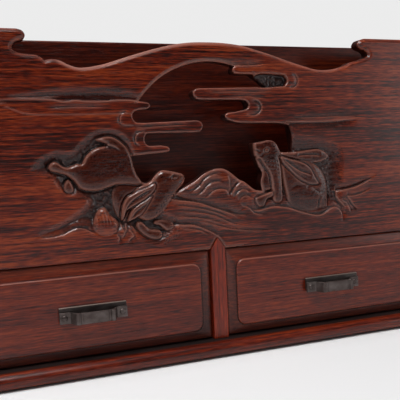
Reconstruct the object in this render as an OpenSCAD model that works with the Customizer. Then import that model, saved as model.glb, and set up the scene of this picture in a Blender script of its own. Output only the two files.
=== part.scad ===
// Desk brush holder in carved rosewood. A tall open box has a letter slot behind a pierced
// front panel, a row of brush cells behind that, and two drawers side by side underneath.
// Millimetres. X runs along the front, the front faces -Y, and Z is the height above the table.

/* [Case] */
// Width of the case across its side boards
case_w = 294; // [284:1:310]
// Depth of the case, front face to back face
case_d = 100; // [96:1:120]
// Height of the scroll ends and of the straight boards above the table
top_z = 175.7; // [175:0.1:182]
// Thickness of the front and back panels
panel_t = 8; // [6:0.5:10]
// Thickness of the side boards
side_t = 9; // [7:0.5:10]
// Radius of the round moon opening in the front panel
moon_r = 50; // [46:0.5:52]
// Height of the moon's centre
moon_z = 111; // [109:0.5:112]

/* [Inside] */
// Front to back size of the letter slot
slot_d = 22; // [15:1:24]
// Thickness of the board between the letter slot and the brush cells
partition_t = 6; // [4:0.5:8]
// Thickness of the floor above the drawers
floor_t = 6; // [4:0.5:8]
// Distance of each cell divider from the middle
divider_x = 46; // [30:1:60]
// Thickness of the cell dividers
divider_t = 5; // [3:0.5:8]
// Height of the cell dividers above the well floor
divider_h = 85; // [40:1:95]

/* [Base] */
// Thickness of the base moulding
base_t = 7.5; // [6:0.5:10]
// How far the base moulding stands out from the case
base_overhang = 9; // [6:0.5:12]
// Width of the mitred base rails
rail_w = 20; // [18:0.5:24]
// Radius of the moulding's upper edge
base_top_r = 3; // [1:0.5:3]
// Radius of the moulding's lower edge
base_low_r = 2; // [1:0.5:2.5]
// Thickness of the felt pads
pad_t = 1; // [0.5:0.5:2]
// Radius of the felt pads
pad_r = 8; // [5:0.5:9]

/* [Drawers] */
// Height of the drawer opening
opening_h = 50.1; // [46:0.1:51]
// Gap round each drawer front
drawer_gap = 0.55; // [0.4:0.05:0.8]
// Thickness of the drawer fronts
front_t = 10; // [8:0.5:12]
// Thickness of the drawer sides and backs
wall_t = 6; // [4:0.5:7]
// Thickness of the drawer bottoms
bottom_t = 3; // [2:0.5:4]
// Length of a drawer behind its front
drawer_len = 76; // [60:1:76]
// How far the raised field stands in front of the border
field_rise = 1.4; // [0.5:0.1:2]
// Corner radius of the raised field
field_r = 5; // [2:0.5:8]
// Width of the middle stile between the drawers
stile_w = 8.6; // [6:0.2:10]

/* [Pulls] */
// Width of the back plate
plate_w = 35; // [32:1:40]
// Height of the back plate
plate_h = 6.5; // [5:0.5:8]
// Thickness of the plate and of the strap
metal_t = 1.4; // [1:0.1:1.6]
// How far the strap stands out from the plate
bow_out = 7; // [6.5:0.1:7.2]
// Height of the strap
bow_h = 5.8; // [4:0.2:7]
// Radius of the rivets
pin_r = 1; // [0.8:0.1:1.2]

/* [Hidden] */
$fn = 64;
rosewood = [0.52, 0.24, 0.18];
dark_rosewood = [0.38, 0.17, 0.13];
drawer_wood = [0.72, 0.55, 0.38];
iron = [0.34, 0.30, 0.29];
felt = [0.16, 0.16, 0.17];

half_w = case_w / 2;
front_y = -case_d / 2;
back_y = case_d / 2;
panel_back_y = front_y + panel_t;
slot_back_y = panel_back_y + slot_d;
cell_y = slot_back_y + partition_t;
inner_back_y = back_y - panel_t;
inner_x = half_w - side_t;

base_top = pad_t + base_t;
opening_top = base_top + opening_h;
well_z = opening_top + floor_t;
base_half_x = half_w + base_overhang;
base_half_y = case_d / 2 + base_overhang;
pad_inset = 16;
dip_depth = 9;         // how far the side boards dip between the letter slot and the back
stile_point = 6.3;     // height of the pointed top of the middle stile

drawer_x0 = stile_w / 2 + drawer_gap;
drawer_x1 = inner_x - drawer_gap;
drawer_mid = (drawer_x0 + drawer_x1) / 2;
drawer_z0 = base_top + drawer_gap;
drawer_z1 = opening_top - drawer_gap;
running_gap = 0.3;
front_back_y = front_y + front_t;
drawer_back_y = front_back_y + drawer_len;
box_z1 = drawer_z1 - 0.5;
field_side = 5.8;      // border of the drawer front beside the raised field
field_low = 5;         // border below the raised field
field_high = 6.5;      // border above it

plate_top = 36.5;
plate_low = plate_top - plate_h;
plate_y = front_y - metal_t;
bow_top = 34.2;
bow_low = bow_top - bow_h;
bow_tab = 5;           // length of the strap's flat end on the plate
bow_knee = 9.3;        // half width of the strap's flat front
pin_x = plate_w / 2 - bow_tab / 2;
pin_z = (bow_low + bow_top) / 2;
pin_clearance = 0.03;
pin_depth = 5;

// Everything on the moon is placed from its middle at x = 0 and z = 111, and moves with moon_z
moon_shift = moon_z - 111;

// ---- helpers ----

// A point between b and c on the smooth curve through a, b, c and d
function curve_point(a, b, c, d, t) = 0.5 * (2 * b + (c - a) * t
    + (2 * a - 5 * b + 4 * c - d) * t * t + (3 * b - a - 3 * c + d) * t * t * t);

// A closed smooth outline through the given points
function smooth_loop(p, steps = 3) = let (n = len(p))
    [for (i = [0 : n - 1], s = [0 : steps - 1])
        curve_point(p[(i + n - 1) % n], p[i], p[(i + 1) % n], p[(i + 2) % n], s / steps)];

// An open smooth line through the given points, with both ends kept
function smooth_run(p, steps = 3) = let (n = len(p))
    concat([for (i = [0 : n - 2], s = [0 : steps - 1])
        curve_point(p[max(i - 1, 0)], p[i], p[i + 1], p[min(i + 2, n - 1)], s / steps)],
        [p[n - 1]]);

// Points of a quarter-round edge about a centre, from one angle to another
function edge_arc(centre, r, from, to, steps = 6) =
    [for (s = [0 : steps]) let (a = from + (to - from) * s / steps)
        centre + r * [cos(a), sin(a)]];

// Stands an outline drawn in X and Z upright, from y0 to y1
module upright(y0, y1) {
    translate([0, y1, 0]) rotate([90, 0, 0]) linear_extrude(height = y1 - y0) children();
}

// A box between two opposite corners
module block(low, high) {
    translate(low) cube(high - low);
}

// A rectangle with round corners, between two opposite corners
module rounded_plate(low, high, r) {
    hull() {
        for (x = [low.x + r, high.x - r], z = [low.y + r, high.y - r]) {
            translate([x, z]) circle(r = r, $fn = 32);
        }
    }
}

// ---- carved outlines of the front panel, as X and Z ----

// The shaped upper edge, from the right scroll end to the left one
upper_edge = concat(
    smooth_run([[100.5, top_z], [97.3, 174.6], [95.6, 171.8], [97.6, 169.8], [101, 168.6],
        [103, 166.4], [101.2, 164.6], [97, 163.2], [90, 161.4], [86, 159.4], [80, 157.8],
        [72, 156.8], [65, 157.4], [60, 158.7], [50, 161.4], [40, 164.5], [30, 167.3],
        [20, 169.8], [10, 171], [0, 171.3], [-10, 171], [-20, 169.7], [-30, 167.4],
        [-40, 164.6], [-50, 161.5], [-60, 158.5], [-70, 157], [-76, 158.3], [-80, 160.2],
        [-84, 161.2], [-88, 160.5]]),
    smooth_run([[-88.2, 160.8], [-92, 163], [-99, 163.7], [-102.4, 165], [-103.3, 167.3],
        [-101, 169.5], [-97.6, 170.8], [-96.8, 172.8], [-98.2, 174.9], [-101, top_z]]));

// Three cloud fingers that reach into the moon from the left
left_clouds = smooth_loop([[-62, 140.4], [-45, 140], [-38.5, 139.5], [-35.6, 138.7],
    [-34.9, 137.2], [-36.6, 135.8], [-41, 135.4], [-44, 134.2], [-44.8, 132],
    [-43.8, 129.7], [-41.4, 128.6], [-30, 128.7], [-15, 129.1], [-9, 129.2], [-6.4, 128.1],
    [-5.6, 126.1], [-6.6, 124], [-9, 123], [-20, 123], [-36, 123], [-38.2, 121.9],
    [-38.8, 119.7], [-38, 117.4], [-36, 116.4], [-30, 116.4], [-26.5, 115.8],
    [-25, 114.3], [-26.4, 112.8], [-35, 112.2], [-45, 111.6], [-62, 111]]);

// Three cloud fingers that reach into the moon from the right
right_clouds = smooth_loop([[62, 160], [32, 159], [20, 158.9], [15.4, 158.6], [13.6, 157.2],
    [13.9, 155.3], [16.5, 154.4], [30, 154.3], [43.6, 154.2], [46.4, 153], [47.4, 150.7],
    [46.4, 148.3], [43.6, 147.1], [20, 146.8], [0, 146.5], [-7, 146.4], [-9.8, 145.4],
    [-10.5, 143.4], [-9, 141.2], [-6, 140.4], [8, 140.3], [18, 140.1], [21, 139.2],
    [22.3, 137], [20.6, 134.8], [14, 133.5], [9.4, 132.9], [7.8, 131.3], [9, 129.5],
    [14, 127.8], [20, 127.3], [40, 126.9], [62, 126.8]]);

// The rabbit sitting at the right of the moon
right_rabbit = smooth_loop([[24.5, 114], [24.9, 115.9], [29, 116.4], [33, 117.2],
    [36, 117], [38.5, 115.7], [40.2, 113.2], [42.5, 110.4], [50, 110], [60, 110.5],
    [64, 98], [60, 84], [44, 81], [34.5, 84.5], [30, 87.5], [29, 91], [28.5, 94],
    [29.6, 98], [29.4, 100.2], [27.9, 102.6], [26.6, 106.3], [25.2, 109], [24.7, 111.5]]);

// The rabbit leaping at the left of the moon
left_rabbit = smooth_loop([[-62, 121.5], [-58, 122], [-55, 121.3], [-51, 118.5],
    [-48, 115.5], [-46, 111], [-45, 106], [-43.5, 102], [-41.5, 98.5], [-39, 96.9],
    [-36.2, 98], [-34, 100.6], [-31.5, 102.6], [-29, 103.3], [-22, 101.8], [-18.5, 100.6],
    [-17.3, 98.5], [-18.6, 95.4], [-21, 93], [-26, 87], [-34, 80], [-44, 78], [-56, 80],
    [-60, 92], [-66, 108]]);

// The peaks and hills that fill the foot of the moon
mountains = concat(
    smooth_run([[-44, 80], [-24, 90], [-20.5, 92], [-17.5, 93.6], [-12.5, 95.8],
        [-9.5, 97.7], [-5, 100.6], [0, 102.3], [3, 102.6], [6, 102.2], [10, 99.9],
        [13, 97.4], [15.4, 95.6], [17.5, 94.8], [20.5, 92.6], [23, 90.5], [25.5, 89.4],
        [29, 88.7], [34, 88.3]]),
    [[62, 80], [62, 58], [-62, 58], [-62, 78]]);

// ---- the base ----

module foot_pads() {
    color(felt)
    for (x = [-1, 1], y = [-1, 1]) {
        translate([x * (base_half_x - pad_inset), y * (base_half_y - pad_inset), 0])
            cylinder(r = pad_r, h = pad_t);
    }
}

module base_panel() {
    color(dark_rosewood)
    block([-base_half_x + rail_w, -base_half_y + rail_w, pad_t + 1.5],
        [base_half_x - rail_w, base_half_y - rail_w, base_top]);
}

// One mitred rail along X, with its rounded outer edge towards -Y
module rail(half_len, edge_y) {
    profile = concat([[edge_y + rail_w, base_top], [edge_y + rail_w, pad_t]],
        edge_arc([edge_y + base_low_r, pad_t + base_low_r], base_low_r, 270, 180),
        edge_arc([edge_y + base_top_r, base_top - base_top_r], base_top_r, 180, 90));
    color(rosewood)
    intersection() {
        translate([-half_len, 0, 0]) rotate([90, 0, 90])
            linear_extrude(height = 2 * half_len) polygon(profile);
        linear_extrude(height = base_top + 1)
            polygon([[-half_len, edge_y], [half_len, edge_y],
                [half_len - rail_w, edge_y + rail_w], [-half_len + rail_w, edge_y + rail_w]]);
    }
}

module base_rail_front() {
    rail(base_half_x, -base_half_y);
}

module base_rail_back() {
    rotate([0, 0, 180]) rail(base_half_x, -base_half_y);
}

module base_rail_left() {
    rotate([0, 0, -90]) rail(base_half_y, -base_half_x);
}

module base_rail_right() {
    rotate([0, 0, 90]) rail(base_half_y, -base_half_x);
}

// ---- the case ----

// Outline of the front panel: the shaped upper edge, mitred lower corners and a middle notch
module panel_outline() {
    polygon(concat(upper_edge, [[-half_w, top_z], [-half_w, opening_top + side_t],
        [-inner_x, opening_top], [-stile_w / 2, opening_top],
        [0, opening_top + stile_point], [stile_w / 2, opening_top],
        [inner_x, opening_top], [half_w, opening_top + side_t], [half_w, top_z]]));
}

// The open part of the moon: the round hole, less the carved figures that stand in it
module moon_opening() {
    difference() {
        translate([0, panel_back_y + 1, moon_z]) rotate([90, 0, 0])
            cylinder(r = moon_r, h = panel_t + 2, $fn = 128);
        for (outline = [left_clouds, right_clouds, left_rabbit, right_rabbit, mountains]) {
            translate([0, 0, moon_shift]) upright(front_y - 2, panel_back_y + 2)
                polygon(outline);
        }
    }
}

module front_panel() {
    color(rosewood)
    difference() {
        upright(front_y, panel_back_y) panel_outline();
        moon_opening();
    }
}

module partition_panel() {
    color(dark_rosewood)
    block([-inner_x, slot_back_y, well_z], [inner_x, cell_y, top_z]);
}

module back_panel() {
    color(rosewood)
    block([-half_w, inner_back_y, base_top], [half_w, back_y, top_z]);
}

// A side board, with a soft dip in its upper edge over the brush cells
module side_board(x0) {
    dip_y = (cell_y + inner_back_y) / 2;
    dip_reach = (inner_back_y - cell_y) / 2 - 4;
    dip = [for (a = [180 : -15 : -180])
        [dip_y + dip_reach * a / 180, top_z - dip_depth * (1 + cos(a)) / 2]];
    color(rosewood)
    translate([x0, 0, 0]) rotate([90, 0, 90]) linear_extrude(height = side_t)
        polygon(concat([[panel_back_y, base_top], [inner_back_y, base_top],
            [inner_back_y, top_z]], dip, [[panel_back_y, top_z]]));
}

module left_side() {
    side_board(-half_w);
}

module right_side() {
    side_board(inner_x);
}

module well_floor() {
    color(dark_rosewood)
    block([-inner_x, panel_back_y, opening_top], [inner_x, inner_back_y, well_z]);
}

module cell_divider(x) {
    color(dark_rosewood)
    block([x - divider_t / 2, cell_y, well_z],
        [x + divider_t / 2, inner_back_y, well_z + divider_h]);
}

module cell_divider_left() {
    cell_divider(-divider_x);
}

module cell_divider_right() {
    cell_divider(divider_x);
}

// The stile between the drawers, with a point let into the panel above
module centre_stile() {
    color(rosewood)
    upright(front_y, panel_back_y)
        polygon([[-stile_w / 2, base_top], [stile_w / 2, base_top],
            [stile_w / 2, opening_top], [0, opening_top + stile_point],
            [-stile_w / 2, opening_top]]);
}

// A corner stile, mitred at its top against the panel's lower corner
module corner_stile() {
    color(rosewood)
    upright(front_y, panel_back_y)
        polygon([[inner_x, base_top], [half_w, base_top],
            [half_w, opening_top + side_t], [inner_x, opening_top]]);
}

module left_stile() {
    mirror([1, 0, 0]) corner_stile();
}

module right_stile() {
    corner_stile();
}

module drawer_partition() {
    color(dark_rosewood)
    block([-stile_w / 2, panel_back_y, base_top], [stile_w / 2, inner_back_y, opening_top]);
}

// Glue blocks at the back that stop each drawer with its front level with the case
module drawer_stops() {
    color(drawer_wood)
    for (side = [-1, 1], x = [drawer_x0 + 14, drawer_x1 - 14]) {
        translate([side * x, 0, 0])
            block([-6, drawer_back_y + running_gap, base_top],
                [6, inner_back_y, base_top + 12]);
    }
}

// ---- one drawer, drawn at the right of the middle ----

module drawer_front() {
    border_y = front_y + field_rise;
    color(rosewood)
    difference() {
        union() {
            block([drawer_x0, border_y, drawer_z0], [drawer_x1, front_back_y, drawer_z1]);
            upright(front_y, border_y + 1)
                rounded_plate([drawer_x0 + field_side, drawer_z0 + field_low],
                    [drawer_x1 - field_side, drawer_z1 - field_high], field_r);
        }
        rivet_holes();
    }
}

module drawer_side(x0) {
    color(drawer_wood)
    block([x0, front_back_y, base_top + running_gap], [x0 + wall_t, drawer_back_y, box_z1]);
}

module drawer_back() {
    color(drawer_wood)
    block([drawer_x0 + wall_t, drawer_back_y - wall_t, base_top + 2 + bottom_t],
        [drawer_x1 - wall_t, drawer_back_y, box_z1]);
}

module drawer_bottom() {
    color(drawer_wood)
    block([drawer_x0 + wall_t, front_back_y, base_top + 2],
        [drawer_x1 - wall_t, drawer_back_y, base_top + 2 + bottom_t]);
}

// Both rivets of a pull, from y0 back to y1, with radius r
module rivet_pair(y0, y1, r) {
    for (side = [-1, 1]) {
        translate([drawer_mid + side * pin_x, y1, pin_z]) rotate([90, 0, 0])
            cylinder(r = r, h = y1 - y0, $fn = 32);
    }
}

module rivet_holes() {
    rivet_pair(plate_y - metal_t - 5, front_y + pin_depth + 0.2, pin_r + pin_clearance);
}

module pull_plate() {
    color(iron)
    difference() {
        block([drawer_mid - plate_w / 2, plate_y, plate_low],
            [drawer_mid + plate_w / 2, front_y, plate_top]);
        rivet_holes();
    }
}

// The strap: two flat ends on the plate, two sloping arms and a flat front with ribbed knees
module pull_bow() {
    end = plate_w / 2;
    root = end - bow_tab;
    rib = 1.1;
    rib_rise = 0.4;
    half = [[end, 0], [end, metal_t], [root - 0.3, metal_t], [bow_knee + 0.5, bow_out],
        [bow_knee, bow_out + rib_rise], [bow_knee - rib, bow_out + rib_rise],
        [bow_knee - rib - 0.3, bow_out]];
    inner = [[root + 0.3, 0], [bow_knee - 0.9, bow_out - metal_t]];
    outline = concat(half, [for (i = [len(half) - 1 : -1 : 0]) [-half[i].x, half[i].y]],
        [for (p = inner) [-p.x, p.y]], [inner[1], inner[0]]);
    color(iron)
    difference() {
        translate([drawer_mid, plate_y, bow_low]) mirror([0, 1, 0])
            linear_extrude(height = bow_h) polygon(outline);
        rivet_holes();
    }
}

module pull_rivets() {
    head_y = plate_y - metal_t;
    color(iron) {
        rivet_pair(head_y - 0.01, front_y + pin_depth, pin_r);
        rivet_pair(head_y - 0.8, head_y - 0.01, pin_r * 1.6);
    }
}

module right_drawer_front() {
    drawer_front();
}

module right_drawer_inner_side() {
    drawer_side(drawer_x0);
}

module right_drawer_outer_side() {
    drawer_side(drawer_x1 - wall_t);
}

module right_drawer_back() {
    drawer_back();
}

module right_drawer_bottom() {
    drawer_bottom();
}

module right_pull_plate() {
    pull_plate();
}

module right_pull_bow() {
    pull_bow();
}

module right_pull_rivets() {
    pull_rivets();
}

module left_drawer_front() {
    mirror([1, 0, 0]) drawer_front();
}

module left_drawer_inner_side() {
    mirror([1, 0, 0]) drawer_side(drawer_x0);
}

module left_drawer_outer_side() {
    mirror([1, 0, 0]) drawer_side(drawer_x1 - wall_t);
}

module left_drawer_back() {
    mirror([1, 0, 0]) drawer_back();
}

module left_drawer_bottom() {
    mirror([1, 0, 0]) drawer_bottom();
}

module left_pull_plate() {
    mirror([1, 0, 0]) pull_plate();
}

module left_pull_bow() {
    mirror([1, 0, 0]) pull_bow();
}

module left_pull_rivets() {
    mirror([1, 0, 0]) pull_rivets();
}

foot_pads();
base_panel();
base_rail_front();
base_rail_back();
base_rail_left();
base_rail_right();
front_panel();
partition_panel();
back_panel();
left_side();
right_side();
well_floor();
cell_divider_left();
cell_divider_right();
centre_stile();
left_stile();
right_stile();
drawer_partition();
drawer_stops();
left_drawer_front();
left_drawer_inner_side();
left_drawer_outer_side();
left_drawer_back();
left_drawer_bottom();
left_pull_plate();
left_pull_bow();
left_pull_rivets();
right_drawer_front();
right_drawer_inner_side();
right_drawer_outer_side();
right_drawer_back();
right_drawer_bottom();
right_pull_plate();
right_pull_bow();
right_pull_rivets();
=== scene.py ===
"""Looks for the rosewood desk brush holder: carved front panel, boards, drawers, pulls and base.

Sizes in this file are in millimetres unless a name ends in _m, and become metres when a mesh is made.
X runs along the front, -Y is the front and Z is up, with the origin on the table.
"""
import contextlib
import math

import bmesh
import bpy
import numpy as np
from mathutils import Matrix, Vector, geometry


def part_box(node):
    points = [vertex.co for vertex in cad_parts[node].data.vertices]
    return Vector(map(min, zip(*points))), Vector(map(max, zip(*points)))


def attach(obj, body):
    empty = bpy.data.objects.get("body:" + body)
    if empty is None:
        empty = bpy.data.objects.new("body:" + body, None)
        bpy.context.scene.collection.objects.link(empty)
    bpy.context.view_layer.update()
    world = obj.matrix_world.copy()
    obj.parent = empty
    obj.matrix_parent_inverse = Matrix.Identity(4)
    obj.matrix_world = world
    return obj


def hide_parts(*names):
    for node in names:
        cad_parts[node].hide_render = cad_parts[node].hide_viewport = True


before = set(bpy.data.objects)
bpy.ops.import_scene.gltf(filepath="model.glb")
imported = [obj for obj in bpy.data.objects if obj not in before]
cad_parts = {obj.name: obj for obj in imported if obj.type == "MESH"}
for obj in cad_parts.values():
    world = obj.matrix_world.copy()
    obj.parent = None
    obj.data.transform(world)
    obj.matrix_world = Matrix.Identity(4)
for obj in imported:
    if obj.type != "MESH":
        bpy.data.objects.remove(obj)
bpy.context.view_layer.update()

MM = 0.001
EPS = 1e-6    # keeps divisions away from zero


# ---- sizes read from the frame ----

def node_box(node):
    """Lowest and highest corner of a CAD node, in millimetres."""
    low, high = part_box(node)
    return np.array(low) / MM, np.array(high) / MM


PANEL_LOW, PANEL_HIGH = node_box("front_panel")
HALF_W = PANEL_HIGH[0]
FRONT_Y = PANEL_LOW[1]
PANEL_BACK_Y = PANEL_HIGH[1]
PANEL_LOW_Z = PANEL_LOW[2]
TOP_Z = PANEL_HIGH[2]
STILE_HIGH = node_box("centre_stile")[1]
STILE_HALF = STILE_HIGH[0]
INNER_X = node_box("right_stile")[0][0]
CORNER_TOP_Z = node_box("right_stile")[1][2]

MOON_R = 50.0     # the moon opening
MOON_Z = 111.0    # its middle, at X = 0


# ---- camera ----

CAMERA_AT = (-136.2, FRONT_Y - 329.0, 107.5)
CAMERA_TURN = 21.07        # degrees to the right of straight at the front
CAMERA_PITCH = -3.47       # degrees above level
CAMERA_ROLL = 2.6          # degrees
LENS = 58.5


def make_camera():
    """The photograph's viewpoint, solved from the straight edges of the case."""
    data = bpy.data.cameras.new("camera")
    data.lens = LENS
    data.sensor_width = 36.0
    data.clip_start = 0.01
    data.clip_end = 50.0
    camera = bpy.data.objects.new("camera", data)
    bpy.context.scene.collection.objects.link(camera)
    turn, pitch = math.radians(CAMERA_TURN), math.radians(CAMERA_PITCH)
    ahead = Vector((math.sin(turn) * math.cos(pitch), math.cos(turn) * math.cos(pitch), math.sin(pitch)))
    roll = Matrix.Rotation(math.radians(CAMERA_ROLL), 3, ahead)
    right = roll @ ahead.cross(Vector((0, 0, 1))).normalized()
    up = right.cross(ahead)
    axes = Matrix((right, up, -ahead)).transposed()
    camera.matrix_world = Matrix.Translation(Vector(CAMERA_AT) * MM) @ axes.to_4x4()
    bpy.context.scene.camera = camera


make_camera()


# ---- outlines ----

def curve_point(a, b, c, d, t):
    """A point between b and c on the smooth curve through a, b, c and d."""
    return 0.5 * (2 * b + (c - a) * t + (2 * a - 5 * b + 4 * c - d) * t * t
                  + (3 * b - a - 3 * c + d) * t ** 3)


def smooth_loop(points, steps=5):
    """A closed smooth outline through the points."""
    p = np.array(points, float)
    n = len(p)
    return np.array([curve_point(p[i - 1], p[i], p[(i + 1) % n], p[(i + 2) % n], s / steps)
                     for i in range(n) for s in range(steps)])


def smooth_run(points, steps=5):
    """An open smooth line through the points, ends included."""
    p = np.array(points, float)
    n = len(p)
    made = [curve_point(p[max(i - 1, 0)], p[i], p[i + 1], p[min(i + 2, n - 1)], s / steps)
            for i in range(n - 1) for s in range(steps)]
    return np.array(made + [p[-1]])


def along(x, z, line, closed):
    """For points at x and z: distance to a line, the side (positive on the left of its direction)
    and how far along it the nearest place is, from 0 to 1."""
    ends = np.roll(line, -1, axis=0) if closed else line[1:]
    starts = line if closed else line[:-1]
    lengths = np.hypot(*(ends - starts).T)
    before = np.concatenate([[0], np.cumsum(lengths)])
    best = np.full(x.shape, 1e9)
    side = np.zeros(x.shape)
    place = np.zeros(x.shape)
    for (ax, az), (bx, bz), length, start in zip(starts, ends, lengths, before):
        if length < EPS:
            continue
        ux, uz = (bx - ax) / length, (bz - az) / length
        px, pz = x - ax, z - az
        t = np.clip(px * ux + pz * uz, 0, length)
        qx, qz = px - t * ux, pz - t * uz
        d = np.hypot(qx, qz)
        near = d < best
        best = np.where(near, d, best)
        side = np.where(near, ux * pz - uz * px, side)
        place = np.where(near, start + t, place)
    return best, side, place / before[-1]


def inside(x, z, loop):
    """True where a point is inside a closed outline."""
    hit = np.zeros(x.shape, bool)
    for (ax, az), (bx, bz) in zip(loop, np.roll(loop, -1, axis=0)):
        if az == bz:
            continue
        crosses = (az > z) != (bz > z)
        hit ^= crosses & (x < ax + (z - az) * (bx - ax) / (bz - az))
    return hit


def depth_inside(x, z, loop):
    """Signed distance to a closed outline, positive inside."""
    d, _, _ = along(x, z, loop, True)
    return np.where(inside(x, z, loop), d, -d)


# The panel's shaped upper edge, right scroll end to left one
UPPER_EDGE = np.concatenate([
    smooth_run([(100.5, TOP_Z), (97.3, 174.6), (95.6, 171.8), (97.6, 169.8), (101, 168.6),
                (103, 166.4), (101.2, 164.6), (97, 163.2), (90, 161.4), (86, 159.4),
                (80, 157.8), (72, 156.8), (65, 157.4), (60, 158.7), (50, 161.4), (40, 164.5),
                (30, 167.3), (20, 169.8), (10, 171), (0, 171.3), (-10, 171), (-20, 169.7),
                (-30, 167.4), (-40, 164.6), (-50, 161.5), (-60, 158.5), (-70, 157),
                (-76, 158.3), (-80, 160.2), (-84, 161.2), (-88, 160.5)]),
    smooth_run([(-88.2, 160.8), (-92, 163), (-99, 163.7), (-102.4, 165), (-103.3, 167.3),
                (-101, 169.5), (-97.6, 170.8), (-96.8, 172.8), (-98.2, 174.9),
                (-101, TOP_Z)])])
PANEL_OUTLINE = np.concatenate([
    UPPER_EDGE,
    [(-HALF_W, TOP_Z), (-HALF_W, CORNER_TOP_Z), (-INNER_X, PANEL_LOW_Z),
     (-STILE_HALF, PANEL_LOW_Z), (0, STILE_HIGH[2]), (STILE_HALF, PANEL_LOW_Z),
     (INNER_X, PANEL_LOW_Z), (HALF_W, CORNER_TOP_Z), (HALF_W, TOP_Z)]])

LEFT_CLOUDS = smooth_loop([
    (-62, 140.4), (-45, 140), (-38.5, 139.5), (-35.6, 138.7), (-34.9, 137.2), (-36.6, 135.8),
    (-41, 135.4), (-44, 134.2), (-44.8, 132), (-43.8, 129.7), (-41.4, 128.6), (-30, 128.7),
    (-15, 129.1), (-9, 129.2), (-6.4, 128.1), (-5.6, 126.1), (-6.6, 124), (-9, 123), (-20, 123),
    (-36, 123), (-38.2, 121.9), (-38.8, 119.7), (-38, 117.4), (-36, 116.4), (-30, 116.4),
    (-26.5, 115.8), (-25, 114.3), (-26.4, 112.8), (-35, 112.2), (-45, 111.6), (-62, 111)])
RIGHT_CLOUDS = smooth_loop([
    (62, 160), (32, 159), (20, 158.9), (15.4, 158.6), (13.6, 157.2), (13.9, 155.3), (16.5, 154.4),
    (30, 154.3), (43.6, 154.2), (46.4, 153), (47.4, 150.7), (46.4, 148.3), (43.6, 147.1), (20, 146.8),
    (0, 146.5), (-7, 146.4), (-9.8, 145.4), (-10.5, 143.4), (-9, 141.2), (-6, 140.4), (8, 140.3),
    (18, 140.1), (21, 139.2), (22.3, 137), (20.6, 134.8), (14, 133.5), (9.4, 132.9), (7.8, 131.3),
    (9, 129.5), (14, 127.8), (20, 127.3), (40, 126.9), (62, 126.8)])
RIGHT_RABBIT = smooth_loop([
    (24.5, 114), (24.9, 115.9), (29, 116.4), (33, 117.2), (36, 117), (38.5, 115.7), (40.2, 113.2),
    (42.5, 110.4), (50, 110), (60, 110.5), (64, 98), (60, 84), (44, 81), (34.5, 84.5), (30, 87.5),
    (29, 91), (28.5, 94), (29.6, 98), (29.4, 100.2), (27.9, 102.6), (26.6, 106.3), (25.2, 109),
    (24.7, 111.5)])
LEFT_RABBIT = smooth_loop([
    (-62, 121.5), (-58, 122), (-55, 121.3), (-51, 118.5), (-48, 115.5), (-46, 111), (-45, 106),
    (-43.5, 102), (-41.5, 98.5), (-39, 96.9), (-36.2, 98), (-34, 100.6), (-31.5, 102.6), (-29, 103.3),
    (-22, 101.8), (-18.5, 100.6), (-17.3, 98.5), (-18.6, 95.4), (-21, 93), (-26, 87), (-34, 80),
    (-44, 78), (-56, 80), (-60, 92), (-66, 108)])
MOUNTAINS = np.concatenate([
    smooth_run([(-44, 80), (-24, 90), (-20.5, 92), (-17.5, 93.6), (-12.5, 95.8),
                (-9.5, 97.7), (-5, 100.6), (0, 102.3), (3, 102.6), (6, 102.2), (10, 99.9),
                (13, 97.4), (15.4, 95.6), (17.5, 94.8), (20.5, 92.6), (23, 90.5),
                (25.5, 89.4), (29, 88.7), (34, 88.3)]),
    [(62, 80), (62, 58), (-62, 58), (-62, 78)]])
FIGURES_IN_MOON = [LEFT_CLOUDS, RIGHT_CLOUDS, RIGHT_RABBIT, LEFT_RABBIT, MOUNTAINS]


def wood(x, z):
    """Signed distance into the wood of the pierced panel, and where the moon's rim is nearest."""
    rim = np.hypot(x, z - MOON_Z) - MOON_R
    figures = np.max([depth_inside(x, z, loop) for loop in FIGURES_IN_MOON], axis=0)
    around_moon = np.maximum(rim, figures)
    edge = depth_inside(x, z, PANEL_OUTLINE)
    return np.minimum(edge, around_moon), (rim > figures) & (rim < edge)


# ---- relief carving ----

def ease(t):
    """0 to 1 with soft ends."""
    t = np.clip(t, 0, 1)
    return t * t * (3 - 2 * t)


def quarter(t):
    """0 to 1 as a quarter round, steep at first."""
    t = np.clip(t, 0, 1)
    return np.sqrt(1 - (1 - t) ** 2)


def value_noise(x, z, size, seed):
    """Smooth noise from -1 to 1 with features about size millimetres across."""
    cells = 64
    table = np.random.RandomState(seed).uniform(-1, 1, (cells, cells))
    fx, fz = x / size, z / size
    ix, iz = np.floor(fx).astype(int), np.floor(fz).astype(int)
    tx, tz = ease(fx - ix), ease(fz - iz)
    corner = [[table[(ix + i) % cells, (iz + k) % cells] for k in (0, 1)] for i in (0, 1)]
    low = corner[0][0] * (1 - tx) + corner[1][0] * tx
    high = corner[0][1] * (1 - tx) + corner[1][1] * tx
    return low * (1 - tz) + high * tz


def blurred(values, weight, reach):
    """Running mean of a grid over a square of 2 * reach + 1 cells, counting only weighted cells."""
    def spread(grid):
        for axis in (0, 1):
            pad = [(reach + 1, reach) if k == axis else (0, 0) for k in (0, 1)]
            total = np.cumsum(np.pad(grid, pad, mode="edge"), axis=axis)
            size = 2 * reach + 1
            grid = np.take(total, range(size, total.shape[axis]), axis) - np.take(
                total, range(total.shape[axis] - size), axis)
        return grid
    return spread(values * weight) / np.maximum(spread(weight), EPS)


def hollows(height, weight):
    """How far each place lies below (positive) or above (negative) its surroundings, in mm."""
    near = blurred(height, weight, 1) - height
    wide = blurred(blurred(height, weight, 2), weight, 2) - height
    return 1.2 * near + 0.5 * wide


EDGE_SHARE = 0.7      # share of a part's edge width that its rounding takes up
MOAT_DEPTH = 0.8      # depth of the cut round a part, for a moat of 1
MOAT_WIDTH = 0.6      # its half width, for a moat_w of 1
HIGHLIGHT_LINE_AT = 0.5       # distance of the light line, painted highlight with some rubbing, from an edge
HIGHLIGHT_LINE_WIDTH = 0.45
LEDGE_GLINT = 0.45    # how light that line is along a stop cut


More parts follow.
